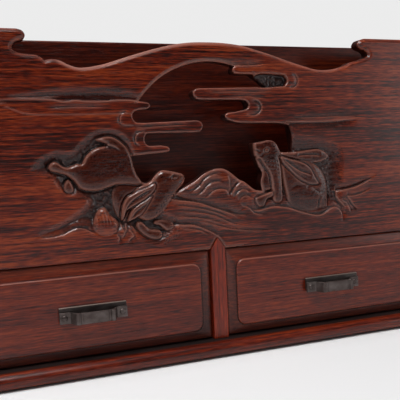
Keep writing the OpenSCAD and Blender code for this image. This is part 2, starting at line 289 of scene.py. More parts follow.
def rubbed_highlight_line(d):
    """Strength of the light line, painted highlight with some rubbing, at a distance from an edge."""
    return np.exp(-((d - HIGHLIGHT_LINE_AT) / HIGHLIGHT_LINE_WIDTH) ** 2)


def end_fade(t, ends):
    """Fades a cut in and out: t runs from 0 to 1 along it and ends are the shares that fade."""
    return ease(t / max(ends[0], EPS)) * ease((1 - t) / max(ends[1], EPS))


class Carving:
    """The carved face as a height above the panel's face at every point of a grid. Beside it go
    values from 0 to 1: the dark tone of lowered ground with painted shade, carved for figures,
    and light lines of painted highlight with rubbing."""

    def __init__(self, x, z):
        self.x, self.z = x, z
        self.height = np.zeros(x.shape)
        self.sunk_and_shaded = np.zeros(x.shape)
        self.carved = np.zeros(x.shape)
        self.worn_and_highlit = np.zeros(x.shape)

    def near(self, line, reach):
        """The grid points within reach of the line's own box."""
        low, high = line.min(axis=0) - reach, line.max(axis=0) + reach
        return np.nonzero((self.x > low[0]) & (self.x < high[0])
                          & (self.z > low[1]) & (self.z < high[1]))[0]

    def ground(self, points, depth, fade, darkness=1.0):
        """Sinks the ground inside an outline, with a soft slope fade wide at its border. It also darkens
        the ground as far as the last argument says: its own matt tone with painted shade.
        """
        loop = smooth_loop(points)
        at = self.near(loop, 0.5)
        t = ease(depth_inside(self.x[at], self.z[at], loop) / fade)
        self.height[at] = np.minimum(self.height[at], -depth * t)
        # the ground's own dark matt tone and painted shade, growing over the fade
        self.sunk_and_shaded[at] = np.maximum(self.sunk_and_shaded[at], darkness * t)
        self.carved[at] = np.maximum(self.carved[at], t)

    def part(self, points, top, edge, crown=0.0, crown_w=6.0, moat=0.0, moat_w=1.2, darkness=1.0,
             glint=0.32):
        """Raises a rounded figure: top is its height at the rim, crown the swell in its middle,
        edge the width of its rounded edge, moat the depth cut along its outline, darkness how dark
        its carved surface is, and glint how strong the light line of painted highlight and rubbing
        along its edge is."""
        loop = smooth_loop(points)
        at = self.near(loop, 3 * moat_w + 0.5)
        s = depth_inside(self.x[at], self.z[at], loop)
        under = self.height[at] - MOAT_DEPTH * moat * np.exp(-(s / (MOAT_WIDTH * moat_w)) ** 2)
        surface = top + crown * (1 - (1 - np.clip(s / crown_w, 0, 1)) ** 2)
        rise = quarter(s / (EDGE_SHARE * edge))
        self.height[at] = np.where(s > 0, under + (surface - under) * rise, under)
        self.sunk_and_shaded[at] = np.where(s > 0, self.sunk_and_shaded[at] * (1 - rise), self.sunk_and_shaded[at])
        # a light line inside the edge: painted highlight with some rubbing
        rubbed_and_highlit = np.maximum(self.worn_and_highlit[at] * (1 - rise), glint * rubbed_highlight_line(s))
        self.worn_and_highlit[at] = np.where(s > 0, rubbed_and_highlit, self.worn_and_highlit[at])
        self.carved[at] = np.where(s > 0, self.carved[at] * (1 - rise) + darkness * rise, self.carved[at])

    def ledge(self, points, depth, soft, crisp=0.5, ends=(0.12, 0.12)):
        """A stop cut: steep on the right of the line's direction, and a long slope on its left. The
        slope gets painted shade and the steep side a light line of painted highlight with some rubbing.
        """
        line = smooth_run(points)
        at = self.near(line, 3 * soft)
        d, side, t = along(self.x[at], self.z[at], line, False)
        fade = end_fade(t, ends)
        slope = np.where(side > 0, np.exp(-(d / soft) ** 1.5), 1 - quarter(d / crisp))
        self.height[at] -= depth * fade * slope
        # painted shade down the long slope
        self.sunk_and_shaded[at] = np.maximum(self.sunk_and_shaded[at], np.where(side > 0, 0.8 * fade * slope, 0))
        # a painted highlight line along the steep side
        rubbed_and_highlit = LEDGE_GLINT * fade * rubbed_highlight_line(d)
        self.worn_and_highlit[at] = np.maximum(self.worn_and_highlit[at], np.where(side > 0, 0, rubbed_and_highlit))

    def groove(self, points, depth, width, ends=(0.25, 0.25)):
        """A V-shaped line that runs out at both ends."""
        line = smooth_run(points)
        at = self.near(line, width)
        d, _, t = along(self.x[at], self.z[at], line, False)
        fade = end_fade(t, ends)
        self.height[at] -= depth * fade * np.clip(1 - d / width, 0, 1) ** 1.4


def sink_ground(c):
    """The sunk ground around the two rabbits, under the clouds' edge and inside the short slot."""
    c.ground([
        (-97, 109), (-93, 113), (-85, 116), (-78, 115.5), (-73, 120), (-66, 125), (-58, 126.3),
        (-51, 124.4), (-47, 120.5), (-44.5, 115), (-43, 110), (-40, 104), (-36, 99), (-33, 94),
        (-30, 88), (-30, 82), (-25, 79.5), (-21.5, 76), (-22, 72), (-25, 69), (-28, 66.5), (-33, 64),
        (-40, 65), (-46, 68.5), (-50, 72), (-58, 70), (-66, 71), (-70, 74.5), (-74, 76.2), (-79, 75.6),
        (-86, 73.2), (-95, 72.9), (-95, 75.5), (-86, 79.5), (-78, 84), (-72, 88.5), (-76, 91),
        (-82, 92.5), (-86, 96), (-89, 101), (-95, 103.5), (-99, 106)], 2.8, 6.5)
    c.ground([
        (40, 121.5), (52, 120.5), (62, 119.5), (72, 118), (79, 115), (82.5, 110.5), (83.6, 104),
        (83, 95), (82.6, 87), (81.6, 81), (83, 77), (83.6, 72.5), (81.8, 67.5), (79.8, 68.6),
        (79.8, 72.5), (78, 75.3), (75, 75.6), (71.5, 74.3), (68, 73), (64, 72.2), (58, 73.7),
        (50, 76.2), (44, 78.5), (36, 79.4), (30, 78.7), (27, 77.6), (23.5, 78.6), (21, 82), (22, 86.5),
        (26, 90), (28, 100), (32, 110), (36, 118)], 2.6, 9.0, darkness=0.62)
    c.ground([
        (-108, 141.6), (-98, 145), (-84, 147.5), (-68, 148), (-54, 147.6), (-42, 145.5), (-34, 141),
        (-40, 137.5), (-60, 137.3), (-80, 137.5), (-95, 139)], 0.9, 5.5, darkness=0.25)
    c.ground([
        (28, 154.4), (43.6, 154.3), (46.4, 153), (47.4, 150.7), (46.4, 148.3), (43.6, 147.1),
        (28, 146.9)], 3.2, 1.0)


def carve_left_body(c):
    """The left rabbit's hind foot, back and neck."""
    second_foot = [
        (-82.3, 96.5), (-81.8, 99), (-80.3, 101), (-78.8, 100.5), (-77.3, 97.5), (-77, 95), (-79, 93.8),
        (-81.3, 94.5)]
    c.part(second_foot, -0.9, 1.6, crown=0.4, moat=0.9)
    body = [
        (-64.8, 120.3), (-63, 121.6), (-58, 122.3), (-54.5, 121.3), (-51, 118.8), (-48, 115.5),
        (-46, 111), (-45, 106), (-43.5, 102), (-41.7, 98.9), (-41, 97), (-44.5, 96.3), (-50, 97),
        (-55, 96.8), (-60, 95.4), (-64, 94.3), (-68.5, 94.2), (-72, 94.9), (-74.5, 96), (-76, 98.3),
        (-78, 100.9), (-81, 103), (-84.5, 104.2), (-88.3, 105.4), (-89.6, 107.3), (-88.3, 109.4),
        (-86.2, 110.4), (-84, 109.6), (-82, 107.9), (-79.5, 107.3), (-77, 108.1), (-75, 108.8),
        (-72.6, 108.7), (-71.5, 110.7), (-70, 112.8), (-67, 115.3), (-64, 116.7), (-60.5, 117.3),
        (-59.5, 118), (-61.5, 118.8)]
    neck = [
        (-43, 101), (-40.5, 97.5), (-38, 92), (-42, 86), (-46, 81), (-50, 77.6), (-53.5, 78.3),
        (-56.3, 82), (-57.5, 87), (-57.5, 93), (-54, 98), (-48, 101)]
    c.part(neck, -1.3, 4.0, crown=0.3)
    c.part(body, -0.2, 1.8, crown=0.8, crown_w=4.5, moat=0.6, moat_w=1.3)
    c.ledge([(-52, 113.5), (-55.5, 116.3), (-60, 117.6)], 0.7, 1.4, ends=(0.5, 0.0))


def carve_left_head(c):
    """Its head, two ears and the fur of its cheek."""
    head = [
        (-41.5, 96), (-38.5, 96.8), (-36, 98.3), (-33.7, 100.4), (-31.5, 102.4), (-29, 103.5),
        (-25, 103.1), (-21, 102.1), (-18.6, 100.8), (-17.5, 98.8), (-18.6, 96.6), (-20.3, 94.3),
        (-22.5, 91.5), (-25, 88.3), (-28, 84.8), (-30.3, 81.8), (-32.3, 79.5), (-34.5, 78), (-38, 77),
        (-41.3, 77.3), (-45, 79.5), (-47.5, 83), (-48, 88), (-46, 93)]
    c.part(head, 0.0, 2.4, crown=0.9, crown_w=4.6, moat=0.3, moat_w=0.8)
    upper_ear = [
        (-34.5, 96.6), (-38, 95), (-42, 93.7), (-46, 92.2), (-50, 90.2), (-52, 87.3), (-53.2, 83.5),
        (-53.6, 78), (-52, 79.5), (-50.6, 82.5), (-48.5, 84.3), (-45, 86.2), (-41, 88.2), (-37.5, 90.6),
        (-34.6, 93.4)]
    c.part(upper_ear, 0.6, 1.0, crown=0.2, crown_w=2.0, moat=1.2, moat_w=1.1)
    c.ledge([
        (-36, 93.6), (-40, 92.2), (-45, 89.6), (-49, 86.6), (-51, 83), (-52, 79.5)], 0.9, 1.2,
        ends=(0.15, 0.2))
    lower_ear = [
        (-36.3, 90), (-40, 87.9), (-44, 85.7), (-47, 83.8), (-49, 81.3), (-50.3, 77.4), (-46.8, 78.2),
        (-43.6, 80), (-41, 82.6), (-38.3, 86.4)]
    c.part(lower_ear, 0.3, 0.9, crown=0.2, crown_w=1.6, moat=1.1, moat_w=0.9)
    c.ledge([(-38.5, 87), (-42, 84.6), (-45.5, 82.2), (-48.4, 78.8)], 0.6, 0.9, ends=(0.15, 0.2))
    for row in range(6):
        for spot in range(3):
            x, z = -30.5 + 1.4 * row - 1.9 * spot, 81.5 + 1.7 * row + 0.5 * (spot % 2)
            c.groove([(x, z), (x - 0.7, z - 0.9)], 0.4, 0.6, ends=(0.3, 0.3))


def carve_left_paws(c):
    """Its front paws with their toes, and the grass in front of them."""
    near_paw = [
        (-45.3, 76.5), (-43, 77), (-41.3, 75.8), (-39.7, 74), (-37.5, 72.5), (-34.5, 72), (-32.3, 71.3),
        (-31.3, 69.3), (-32, 67.4), (-34.5, 66.6), (-38, 67.4), (-41.5, 69.2), (-44, 71.5), (-45.7, 74)]
    far_paw = [
        (-35, 76.8), (-31, 77.2), (-27.5, 76.6), (-25.2, 75), (-24.7, 73), (-26.3, 71.2), (-29, 70.9),
        (-31, 72.3), (-33, 74), (-36, 75)]
    c.part(far_paw, -0.6, 1.2, crown=0.3, crown_w=1.8, moat=0.3, moat_w=0.8)
    c.ledge([(-25.4, 74.8), (-27.5, 76.3), (-31, 77), (-35, 76.6)], 0.6, 1.2, ends=(0.1, 0.3))
    c.part(near_paw, -0.2, 1.3, crown=0.3, crown_w=2.0, moat=0.4, moat_w=0.8)
    c.ledge([(-32.3, 70.9), (-34.5, 71.7), (-37.5, 72.3), (-40, 74)], 0.6, 1.2, ends=(0.1, 0.3))
    for row in range(5):
        for spot in range(4):
            x, z = -31 + 1.9 * row + 0.8 * (spot % 2), 64.5 + 1.6 * spot + 0.7 * row
            c.groove([(x, z), (x + 0.9, z - 0.5)], 0.5, 0.7, ends=(0.3, 0.3))
    toes = [
        [(-31.6, 70.6), (-33.4, 69.9)],
        [(-31.6, 69.1), (-33.6, 68.8)],
        [(-25.2, 74.4), (-27, 73.8)],
        [(-25.4, 72.9), (-27.2, 72.7)]]
    for toe in toes:
        c.groove(toe, 0.5, 0.6, ends=(0.0, 0.4))


def carve_left_face(c):
    """Its eye, mouth and brow."""
    eye = [(-24.9, 98.6), (-24, 99.5), (-22.6, 99.6), (-21.6, 98.8), (-22.6, 98), (-24, 97.9)]
    c.part(eye, 0.5, 0.7, crown=0.2, crown_w=1, moat=0.6, moat_w=0.45)
    c.groove([(-17.8, 97.6), (-19.6, 97.2), (-21.4, 96.2)], 0.4, 0.6)
    c.ledge([(-20.4, 100.2), (-22.5, 100.9), (-25, 100.2), (-26.8, 98.2)], 0.4, 0.9, ends=(0.2, 0.3))


def carve_left_ground(c):
    """The egg-shaped rock, the ledge behind it and the tufts of grass."""
    rock = [
        (-68.3, 78.5), (-67, 82), (-65.3, 84.7), (-62.8, 85.7), (-61, 85.2), (-60, 83.3), (-58.3, 81),
        (-56, 79), (-54.6, 76.5), (-55.5, 73.5), (-58, 71.3), (-62, 70.6), (-66, 72), (-68.4, 75)]
    c.part(rock, -0.2, 3.0, crown=1.2, crown_w=5, darkness=0.0)
    for x in (-65.6, -64, -62.4, -60.8, -59.2):
        c.groove([(x - 0.6, 82.8), (x, 79), (x + 0.3, 75)], 0.35, 0.7, ends=(0.2, 0.4))
    c.ledge([
        (-98, 72.8), (-92, 72.5), (-87, 72.7), (-83, 73.7), (-79, 75.4), (-76, 76.1), (-73, 75.6),
        (-70, 73.9), (-66.5, 71.6)], 0.8, 2.2, ends=(0.15, 0.1))
    strokes = [
        [(-53.5, 78), (-52.6, 74), (-51.3, 70)],
        [(-50.4, 77), (-51, 72.5), (-54, 68.3)],
        [(-48.5, 76), (-46.6, 73.8), (-45.2, 70.8)],
        [(-56.5, 71.5), (-54.8, 69), (-56, 66.6)],
        [(-46, 69.8), (-48.7, 68.3), (-50.6, 66.4)],
        [(-49.5, 73.5), (-47.6, 71), (-47.4, 68.6)]]
    for stroke in strokes:
        c.ledge(stroke, 0.9, 1.1, crisp=0.4, ends=(0.2, 0.3))


def carve_hills(c):
    """The peak in the moon with its ridges, and the flowing lines below it."""
    peak = [
        (-24, 90), (-20.5, 92), (-17.5, 93.6), (-12.5, 95.8), (-9.5, 97.7), (-5, 100.6), (0, 102.3),
        (3, 102.6), (6, 102.2), (10, 99.9), (13, 97.4), (16, 93), (19, 88), (18, 80), (8, 78), (-2, 82),
        (-14, 86)]
    c.ground([
        (-26, 91), (-20, 93), (-12, 96), (-4, 96), (4, 93), (12, 89), (18, 84), (15, 78), (8, 76.5),
        (0, 79.5), (-10, 83), (-23, 86)], 1.3, 4.0)
    c.part(peak, -0.2, 1.6, crown=0.1, darkness=0.35, glint=0.2)
    ridges = [
        ([(-16, 90.2), (-12.5, 91.4), (-9, 93.6), (-6.5, 96.5), (-3, 98.8), (1, 99.6), (5, 98.6)], 1.1,
            2.0),
        ([(-12.5, 88.3), (-8.5, 89.8), (-5.5, 92.4), (-2.5, 94.8), (2, 95.6), (5.5, 94.6)], 1.0, 2.0),
        ([(-8, 86.8), (-4, 88.4), (-1, 90.6), (3, 91.6), (7, 90.6), (10, 88)], 0.7, 1.8),
        ([(7.5, 99.2), (9, 96.2), (9.2, 92.5), (10.5, 89)], 0.5, 1.5),
        ([(8.6, 86.5), (10.4, 89.6), (13, 92.8), (16.2, 95)], 1.3, 2.0),
        ([(10.8, 85.5), (13, 88.4), (16, 90.3), (19, 90), (21.5, 88)], 0.8, 1.6),
        ([(13.5, 84), (16.5, 86.6), (19.5, 86.8), (22.5, 85)], 0.6, 1.4)]
    for points, depth, soft in ridges:
        c.ledge(points, depth, soft, ends=(0.25, 0.25))
    c.ledge([
        (-28, 88.4), (-23, 87.2), (-17, 86.2), (-12, 85.3), (-8, 84.2), (-3, 82.2), (2, 80.3),
        (6, 78.8), (10, 77), (14, 74.9), (18, 73.9)], 1.5, 2.6, ends=(0.02, 0.3))
    c.ledge([
        (-25, 73.9), (-19, 73.4), (-15, 73.1), (-12, 72.4), (-8, 70.8), (-3, 68.2), (1, 65.6),
        (5, 62.5)], 1.4, 2.6, ends=(0.04, 0.35))
    ripples = [
        [(-27, 84.5), (-16, 82.9), (-8, 81.3), (0, 78.8), (7, 75.6), (12, 72.3)],
        [(-24, 81.2), (-12, 79.7), (-2, 77.4), (5, 74.2), (11, 71.5), (20, 70.2)],
        [(-26, 78.8), (-16, 77.4), (-7, 75.9), (1, 73.3), (8, 70.6)],
        [(-12, 75.1), (-5, 73.4), (2, 71), (9, 69), (20, 67.4), (33, 66.6)],
        [(4, 79.8), (9, 77.8), (14, 76.6), (20, 76.3)],
        [(-22, 71.4), (-15, 70.9), (-9, 69.1), (-4, 66.4)],
        [(14, 82.5), (20, 80), (24, 76.5), (32, 75.2)]]
    for points in ripples:
        c.ledge(points, 0.55, 1.3, ends=(0.2, 0.3))


def carve_right_body(c):
    """The seated right rabbit's far ear, chest, body, leg and paw."""
    far_ear = [
        (42, 110.2), (50, 110.2), (56, 110.5), (62, 111.1), (66.5, 111.2), (70, 110), (72.3, 108.3),
        (73.4, 106.6), (72, 105.2), (69.5, 104.1), (66.5, 103.3), (60, 103), (50, 104), (42, 106)]
    c.part(far_ear, -0.8, 1.2, crown=0.4, crown_w=3)
    c.ledge([(52, 107.6), (57, 108), (63, 107.8), (68, 107)], 0.5, 1.1)
    chest = [
        (26, 107), (27, 103.5), (28.3, 101), (29.6, 99.3), (29.4, 96.5), (28.5, 94), (29, 91),
        (30.5, 89.3), (34, 89.2), (37, 91), (37, 104), (33, 108)]
    c.part(chest, -1.3, 1.0, crown=0.2)
    body = [
        (41, 108), (46, 106.5), (52, 105.3), (57, 104.8), (61.5, 103.7), (65, 101.8), (68, 98.8),
        (70.2, 95), (71.3, 91), (71.5, 86), (71.2, 80), (70.5, 77), (66, 76.6), (62, 75.8), (57, 75.8),
        (52, 76.7), (48.5, 78.4), (46, 80.5), (44.7, 83), (43.5, 88), (42, 96)]
    c.part(body, -0.5, 2.0, crown=1.2, crown_w=9, moat=0.4)
    c.groove([(65, 76.4), (65.1, 80), (65.9, 84.5)], 0.8, 1.1, ends=(0.0, 0.4))
    c.groove([(69.6, 76.5), (70, 81), (69.6, 86)], 0.4, 0.9, ends=(0.0, 0.4))
    c.groove([(46, 88), (50, 90.5), (56, 90.2), (62, 88.5), (66, 85)], 0.35, 2.0)
    leg = [
        (24.5, 113.8), (24.9, 115.8), (28.5, 116.3), (32.5, 117.3), (36, 117.1), (38.5, 115.8),
        (40.3, 113.3), (41.8, 110.5), (41, 107), (41.2, 103), (41.6, 98), (41.8, 90), (41.6, 84),
        (40.5, 82), (38, 81.3), (36, 82.2), (35.2, 84.5), (35, 89), (34.6, 94), (33.8, 98),
        (31.5, 101.5), (29.5, 104.5), (28, 106.8), (26.2, 107.5), (25.2, 109.5), (24.7, 111.5)]
    c.part(leg, -0.1, 1.5, crown=0.6, crown_w=5, moat=0.7, moat_w=1.0)
    paw = [
        (24, 84.9), (26.5, 85.9), (30, 86.9), (34.8, 88.2), (35.6, 86.5), (34.8, 85), (32, 84.2),
        (30.5, 82), (29.5, 80.3), (27.8, 79.6), (25.9, 80.2), (24.5, 82.2)]
    c.part(paw, -0.2, 1.2, crown=0.4, crown_w=3, moat=0.6)


def carve_right_head(c):
    """Its near ear, eye, mouth and fur."""
    near_ear = [
        (40.5, 107.6), (43, 107.5), (47, 106.3), (52, 104.9), (56, 103.4), (59.5, 101.2), (61.5, 98.3),
        (63.3, 94.7), (65.3, 91), (61, 90.8), (57.5, 91.7), (53, 94), (49, 97.2), (45, 101),
        (42, 104.3)]
    c.part(near_ear, 0.3, 1.1, crown=0.2, crown_w=3, moat=1.3, moat_w=1.4)
    c.ledge([
        (43, 106.2), (46.5, 103.6), (50, 101), (54, 98.7), (58, 97.3), (61.3, 96)], 1.1, 1.3, crisp=0.6,
        ends=(0.15, 0.2))
    c.groove([(45, 103.2), (49, 99.2), (53, 96.3), (58, 93.6)], 0.5, 0.9)
    ring = [
        (30.6, 111.4), (31.2, 112.5), (32.6, 112.8), (33.8, 111.9), (33.4, 110.6), (31.9, 110.2),
        (30.8, 110.7)]
    c.part(ring, 0.35, 0.8, crown=0.2, crown_w=1, moat=0.7, moat_w=0.5)
    c.groove([(24.8, 111.9), (26.5, 111.4), (28.5, 110.2)], 0.5, 0.7, ends=(0.0, 0.3))
    c.groove([(27, 107.6), (29, 108.6), (30.2, 110.4)], 0.35, 0.9)
    for row in range(4):
        for spot in range(5):
            x, z = 30.8 + 1.9 * spot + 0.5 * (row % 2), 105.6 - 2.3 * row
            c.groove([(x, z), (x + 0.2, z - 1.0)], 0.35, 0.6, ends=(0.3, 0.3))


def carve_right_ground(c):
    """The bank under the right rabbit and the rocks on its right."""
    c.ledge([
        (20, 79.4), (26, 78.2), (31, 79.1), (36, 79.8), (41, 79.2), (46, 78.1), (51, 76.3), (56, 74.7),
        (61, 73.3), (65, 72.7), (68.5, 73.5), (72, 75.5), (75, 76.6), (78, 76.2), (80.2, 74), (81, 71),
        (80, 67.6)], 1.2, 2.0, ends=(0.08, 0.1))
    c.ledge([
        (77.4, 86), (81, 86.4), (86, 87), (92, 88.2), (99, 90.7), (107, 94.7)], 1.8, 1.8,
        ends=(0.02, 0.45))
    c.ledge([
        (82.6, 75.5), (80.6, 78), (78.7, 80), (77.5, 82.5), (77.4, 86)], 1.1, 1.6, ends=(0.1, 0.02))
    c.ledge([(91.5, 74), (88, 77.5), (86.3, 80), (84, 82.8)], 0.9, 1.5, ends=(0.3, 0.1))
    c.ledge([(84.2, 83), (89, 82.6), (96, 84), (103, 86.8)], 0.8, 1.4, ends=(0.05, 0.4))
    c.ledge([(80.5, 80.8), (84, 79), (86, 76), (87, 73)], 0.5, 1.0)


def carve_clouds(c):
    """The left cloud band and the lines along the other clouds."""
    left_cloud = [
        (-112, 141), (-98, 141.8), (-86, 141.4), (-80, 140.2), (-74, 140.8), (-68, 140.3), (-60, 140.2),
        (-52, 140.9), (-45, 140.6), (-36, 139.4), (-33, 136), (-38, 133.5), (-46, 133), (-60, 133),
        (-80, 133), (-100, 134)]
    c.part(left_cloud, 0.0, 1.0, darkness=0.0, glint=0.7)
    left = [
        ([(-109, 142.3), (-95, 142.5), (-86, 142.9), (-80, 143)], 0.45, 0.8, (0.2, 0.3)),
        ([(-90, 137), (-84, 137), (-74, 137.4), (-60, 137.2), (-55, 137.4)], 0.4, 0.8, (0.2, 0.3)),
        ([(-43.5, 126.9), (-50, 127.3), (-52, 130), (-50.5, 133.4), (-46.5, 134.8)], 0.5, 0.8,
            (0.2, 0.2)),
        ([(-41, 115.8), (-43.8, 118), (-44.2, 121.2), (-42, 123.6), (-37, 124.2)], 0.5, 0.8,
            (0.2, 0.2)),
        ([(-47, 126.4), (-38, 126.4), (-28, 126.8), (-18, 127), (-11, 126.8)], 0.4, 0.8, (0.2, 0.3))]
    right = [
        ([(4, 158.6), (14.5, 159.1), (20, 159), (27, 159.2), (31, 159.7), (37, 161)], 0.9, 2.4,
            (0.1, 0.4)),
        ([(94, 127.7), (85, 127.4), (80, 127), (75, 126.8), (60, 126.7), (45, 126.9)], 1.4, 3.0,
            (0.25, 0.0)),
        ([(48, 129.8), (60, 129.7), (72, 129.9), (84, 130), (98, 130.2)], 0.55, 0.9, (0.2, 0.3)),
        ([(48, 146.4), (51.6, 147), (53.6, 149.6), (53.2, 152.8), (50, 155.6)], 0.6, 1.1, (0.2, 0.3)),
        ([(20, 131.5), (26, 131.6), (29.2, 133.6), (29.8, 136.6), (27.6, 139.4), (23, 140.7)], 0.7, 1.1,
            (0.2, 0.2)),
        ([(-5, 144.5), (8, 144.6), (24, 144.5), (42, 144.3)], 0.4, 0.8, (0.2, 0.3)),
        ([(10, 142), (20, 142), (30, 141.2), (36, 139.5)], 0.35, 0.8, (0.3, 0.4))]
    for points, depth, soft, ends in left + right:
        c.ledge(points, depth, soft, ends=ends)


def carve_texture(c):
    """Gouge marks on the sunk ground and a slight unevenness on the carved figures."""
    coarse, fine = value_noise(c.x + 0.4 * c.z, c.z, 1.3, 3), value_noise(c.x, c.z + 0.5 * c.x, 0.8, 5)
    strokes, waves = value_noise(c.x * 0.45 + c.z, c.z - c.x, 0.75, 7), value_noise(c.x, c.z, 2.4, 9)
    c.height += 0.22 * c.sunk_and_shaded * (coarse + 0.6 * fine) + c.carved * (0.035 * strokes + 0.05 * waves)


# ---- meshes ----

def make_object(name, verts, faces, material, body="case", replaces=None, slot="rosewood", attributes=None):
    """A smooth-shaded mesh object from points in millimetres, riding on a body."""
    mesh = bpy.data.meshes.new(name)
    mesh.from_pydata([tuple(v) for v in np.asarray(verts) * MM], [], [tuple(map(int, f)) for f in faces])
    mesh.validate()
    mesh.polygons.foreach_set("use_smooth", [True] * len(mesh.polygons))
    for key, values in (attributes or {}).items():
        layer = mesh.attributes.new(key, "FLOAT", "POINT")
        layer.data.foreach_set("value", values)
    mesh.materials.append(material)
    mesh.update()
    piece = bpy.data.objects.new(name, mesh)
    bpy.context.scene.collection.objects.link(piece)
    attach(piece, body)
    if replaces:
        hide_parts(replaces)
    return piece


@contextlib.contextmanager
def edited(piece):
    """A bmesh of the piece with its faces turned outwards, written back at the end."""
    bm = bmesh.new()
    bm.from_mesh(piece.data)
    bmesh.ops.recalc_face_normals(bm, faces=bm.faces)
    yield bm
    bm.to_mesh(piece.data)
    bm.free()


# ---- carved front panel ----

GRID = 0.4            # spacing of the carved face's grid
PLAIN_STEP = 2.0      # the same in the plain strips beside the carving
RIM_R = 1.7           # width of the rounded rim of the moon
EDGE_R = 0.8          # width of the rounded edges of the clouds
FIGURE_EDGE_R = 1.5   # the same on the rabbits and peaks
FIGURE_TOP_Z = 118.0  # the rabbits and peaks lie below this
TOP_EDGE_R = 1.9      # width of the sloping upper edge
TOP_EDGE_Z = 150.0    # the upper edge lies above this
LOW_EDGE_R = 0.35     # width of the panel's lower border
PLAIN_EDGE_Z = 75.0   # below this the panel's border is plain and not rubbed
SCROLL_X = 80.0       # the corner scrolls of the upper edge lie outside this
SCROLL_DROP = 24.0    # and less than this below the top
BACK_CHAMFER = 0.4
MOST_RAISED = 1.4     # the carving stays within this in front of the panel's face
LEAST_WOOD = 2.0      # and leaves this much wood at its back
WALL_SHADE = {"hollow": 0.5, "sunk_and_shaded": 0.7}   # darkening of the walls in the moon and the scrolls


def panel_grid():
    """Grid positions: fine over the carving and the edges, wide where the panel is plain."""
    fine_l = np.arange(-HALF_W, -135.9, GRID)
    plain_l = np.arange(-134, -108.5, PLAIN_STEP)
    middle = np.arange(-107.2, 112.01, GRID)
    plain_r = np.arange(114, 134.5, PLAIN_STEP)
    fine_r = np.arange(HALF_W, 135.9, -GRID)[::-1]
    xs = np.concatenate([fine_l, plain_l, middle, plain_r, fine_r])
    rows = int(round((TOP_Z - PANEL_LOW_Z) / GRID))
    return xs, np.linspace(PANEL_LOW_Z, TOP_Z, rows + 1)


def snap_to_edge(x, z):
    """Moves points onto the border of the wood. Returns them and the inward direction there."""
    step = 0.05
    for _ in range(3):
        d = wood(x, z)[0]
        gx = wood(x + step, z)[0] - wood(x - step, z)[0]
        gz = wood(x, z + step)[0] - wood(x, z - step)[0]
        length = np.maximum(np.hypot(gx, gz), EPS)
        x, z = x - d * gx / length, z - d * gz / length
    return x, z, gx / length, gz / length


def rounded_edges(x, z, d, rim):
    """How far the face drops towards its edges, and how light the edges are painted, as highlight with some
    rubbing.
    """
    far_from_moon = np.hypot(x, z - MOON_Z) > MOON_R + 4
    plain_edge = (z < PLAIN_EDGE_Z) & far_from_moon
    top_edge = (z > TOP_EDGE_Z) & (d > depth_inside(x, z, PANEL_OUTLINE) - 0.2)
    figure_r = EDGE_R + (FIGURE_EDGE_R - EDGE_R) * ease((FIGURE_TOP_Z - z) / 8)
    radius = np.where(plain_edge, LOW_EDGE_R, np.where(rim, RIM_R, figure_r))
    radius = np.where(top_edge, TOP_EDGE_R, radius)
    t = np.clip(d / radius, 0, 1)
    sloped = top_edge | rim | ((z < FIGURE_TOP_Z - 6) & ~plain_edge)
    drop = radius * np.where(sloped, 0.75 * (1 - t) ** 1.3, 0.9 * (1 - quarter(t)))
    # painted highlight where the light from the upper left falls: less on the rim's right side, less on the
    # upper edge's right and at the scrolls, and none on the plain lower border
    wear_and_highlight = np.clip(1.2 - np.maximum(d, 0) / radius, 0, 1)
    wear_and_highlight = wear_and_highlight * np.where(rim, 1 - 0.9 * ease((x - 15) / 15), 1) * ~plain_edge
    at_scroll = ease((np.abs(x) - SCROLL_X) / 4)
    wear_and_highlight = wear_and_highlight * np.where(top_edge, (1.4 - 0.6 * ease((x + 40) / 80)) * (1 - 0.75 * at_scroll), 1)
    return drop, wear_and_highlight


def grid_faces(shape, state, d):
    """The grid's squares in the wood, and triangles where the border cuts off one corner.
    The state is 1 in the wood, 0 on its border and -1 outside."""
    index = np.arange(len(d)).reshape(shape)
    corners = np.stack([index[:-1, :-1], index[:-1, 1:], index[1:, 1:], index[1:, :-1]], -1).reshape(-1, 4)
    states = state[corners]
    whole = (states >= 0).all(axis=1) & (d[corners].mean(axis=1) > 0.02)
    faces = corners[whole].tolist()
    lone = ((states < 0).sum(axis=1) == 1) & (states.max(axis=1) > 0)
    for row, row_states in zip(corners[lone], states[lone]):
        faces.append([int(i) for i, s in zip(row, row_states) if s >= 0])
    return faces


def carved_surface():
    """The face of the carved panel: its points, faces, inward directions at the border, and the
    values that colour it."""
    gx, gz = np.meshgrid(*panel_grid())
    x, z = gx.ravel().copy(), gz.ravel().copy()
    d, rim = wood(x, z)
    edge = np.abs(d) < 0.5 * GRID + EPS
    x[edge], z[edge], nx, nz = snap_to_edge(x[edge], z[edge])
    inward = np.zeros((len(x), 2))
    inward[edge] = np.stack([nx, nz], axis=1)
    state = np.where(edge, 0, np.sign(d)).astype(int)
    d = np.where(edge, 0, d)

    c = Carving(x, z)
    for carve in (sink_ground, carve_clouds, carve_hills, carve_left_body, carve_left_head,
                  carve_left_paws, carve_left_face, carve_left_ground, carve_right_body,
                  carve_right_head, carve_right_ground, carve_texture):
        carve(c)
    in_wood = (state >= 0).astype(float).reshape(gx.shape)
    # how hollow each place is, for painted shade in hollows and painted highlight on ridges
    hollow = hollows(c.height.reshape(gx.shape), in_wood).ravel()
    drop, wear_and_highlight = rounded_edges(x, z, d, rim)
    y = np.clip(FRONT_Y - (c.height - drop), FRONT_Y - MOST_RAISED, PANEL_BACK_Y - LEAST_WOOD)
    # painted shade and painted highlight go with the points as attributes
    paint = {"sunk_and_shaded": c.sunk_and_shaded, "wear_and_highlight": np.maximum(wear_and_highlight, c.worn_and_highlit), "hollow": hollow, "carved": c.carved}
    return x, y, z, grid_faces(gx.shape, state, d), inward, paint


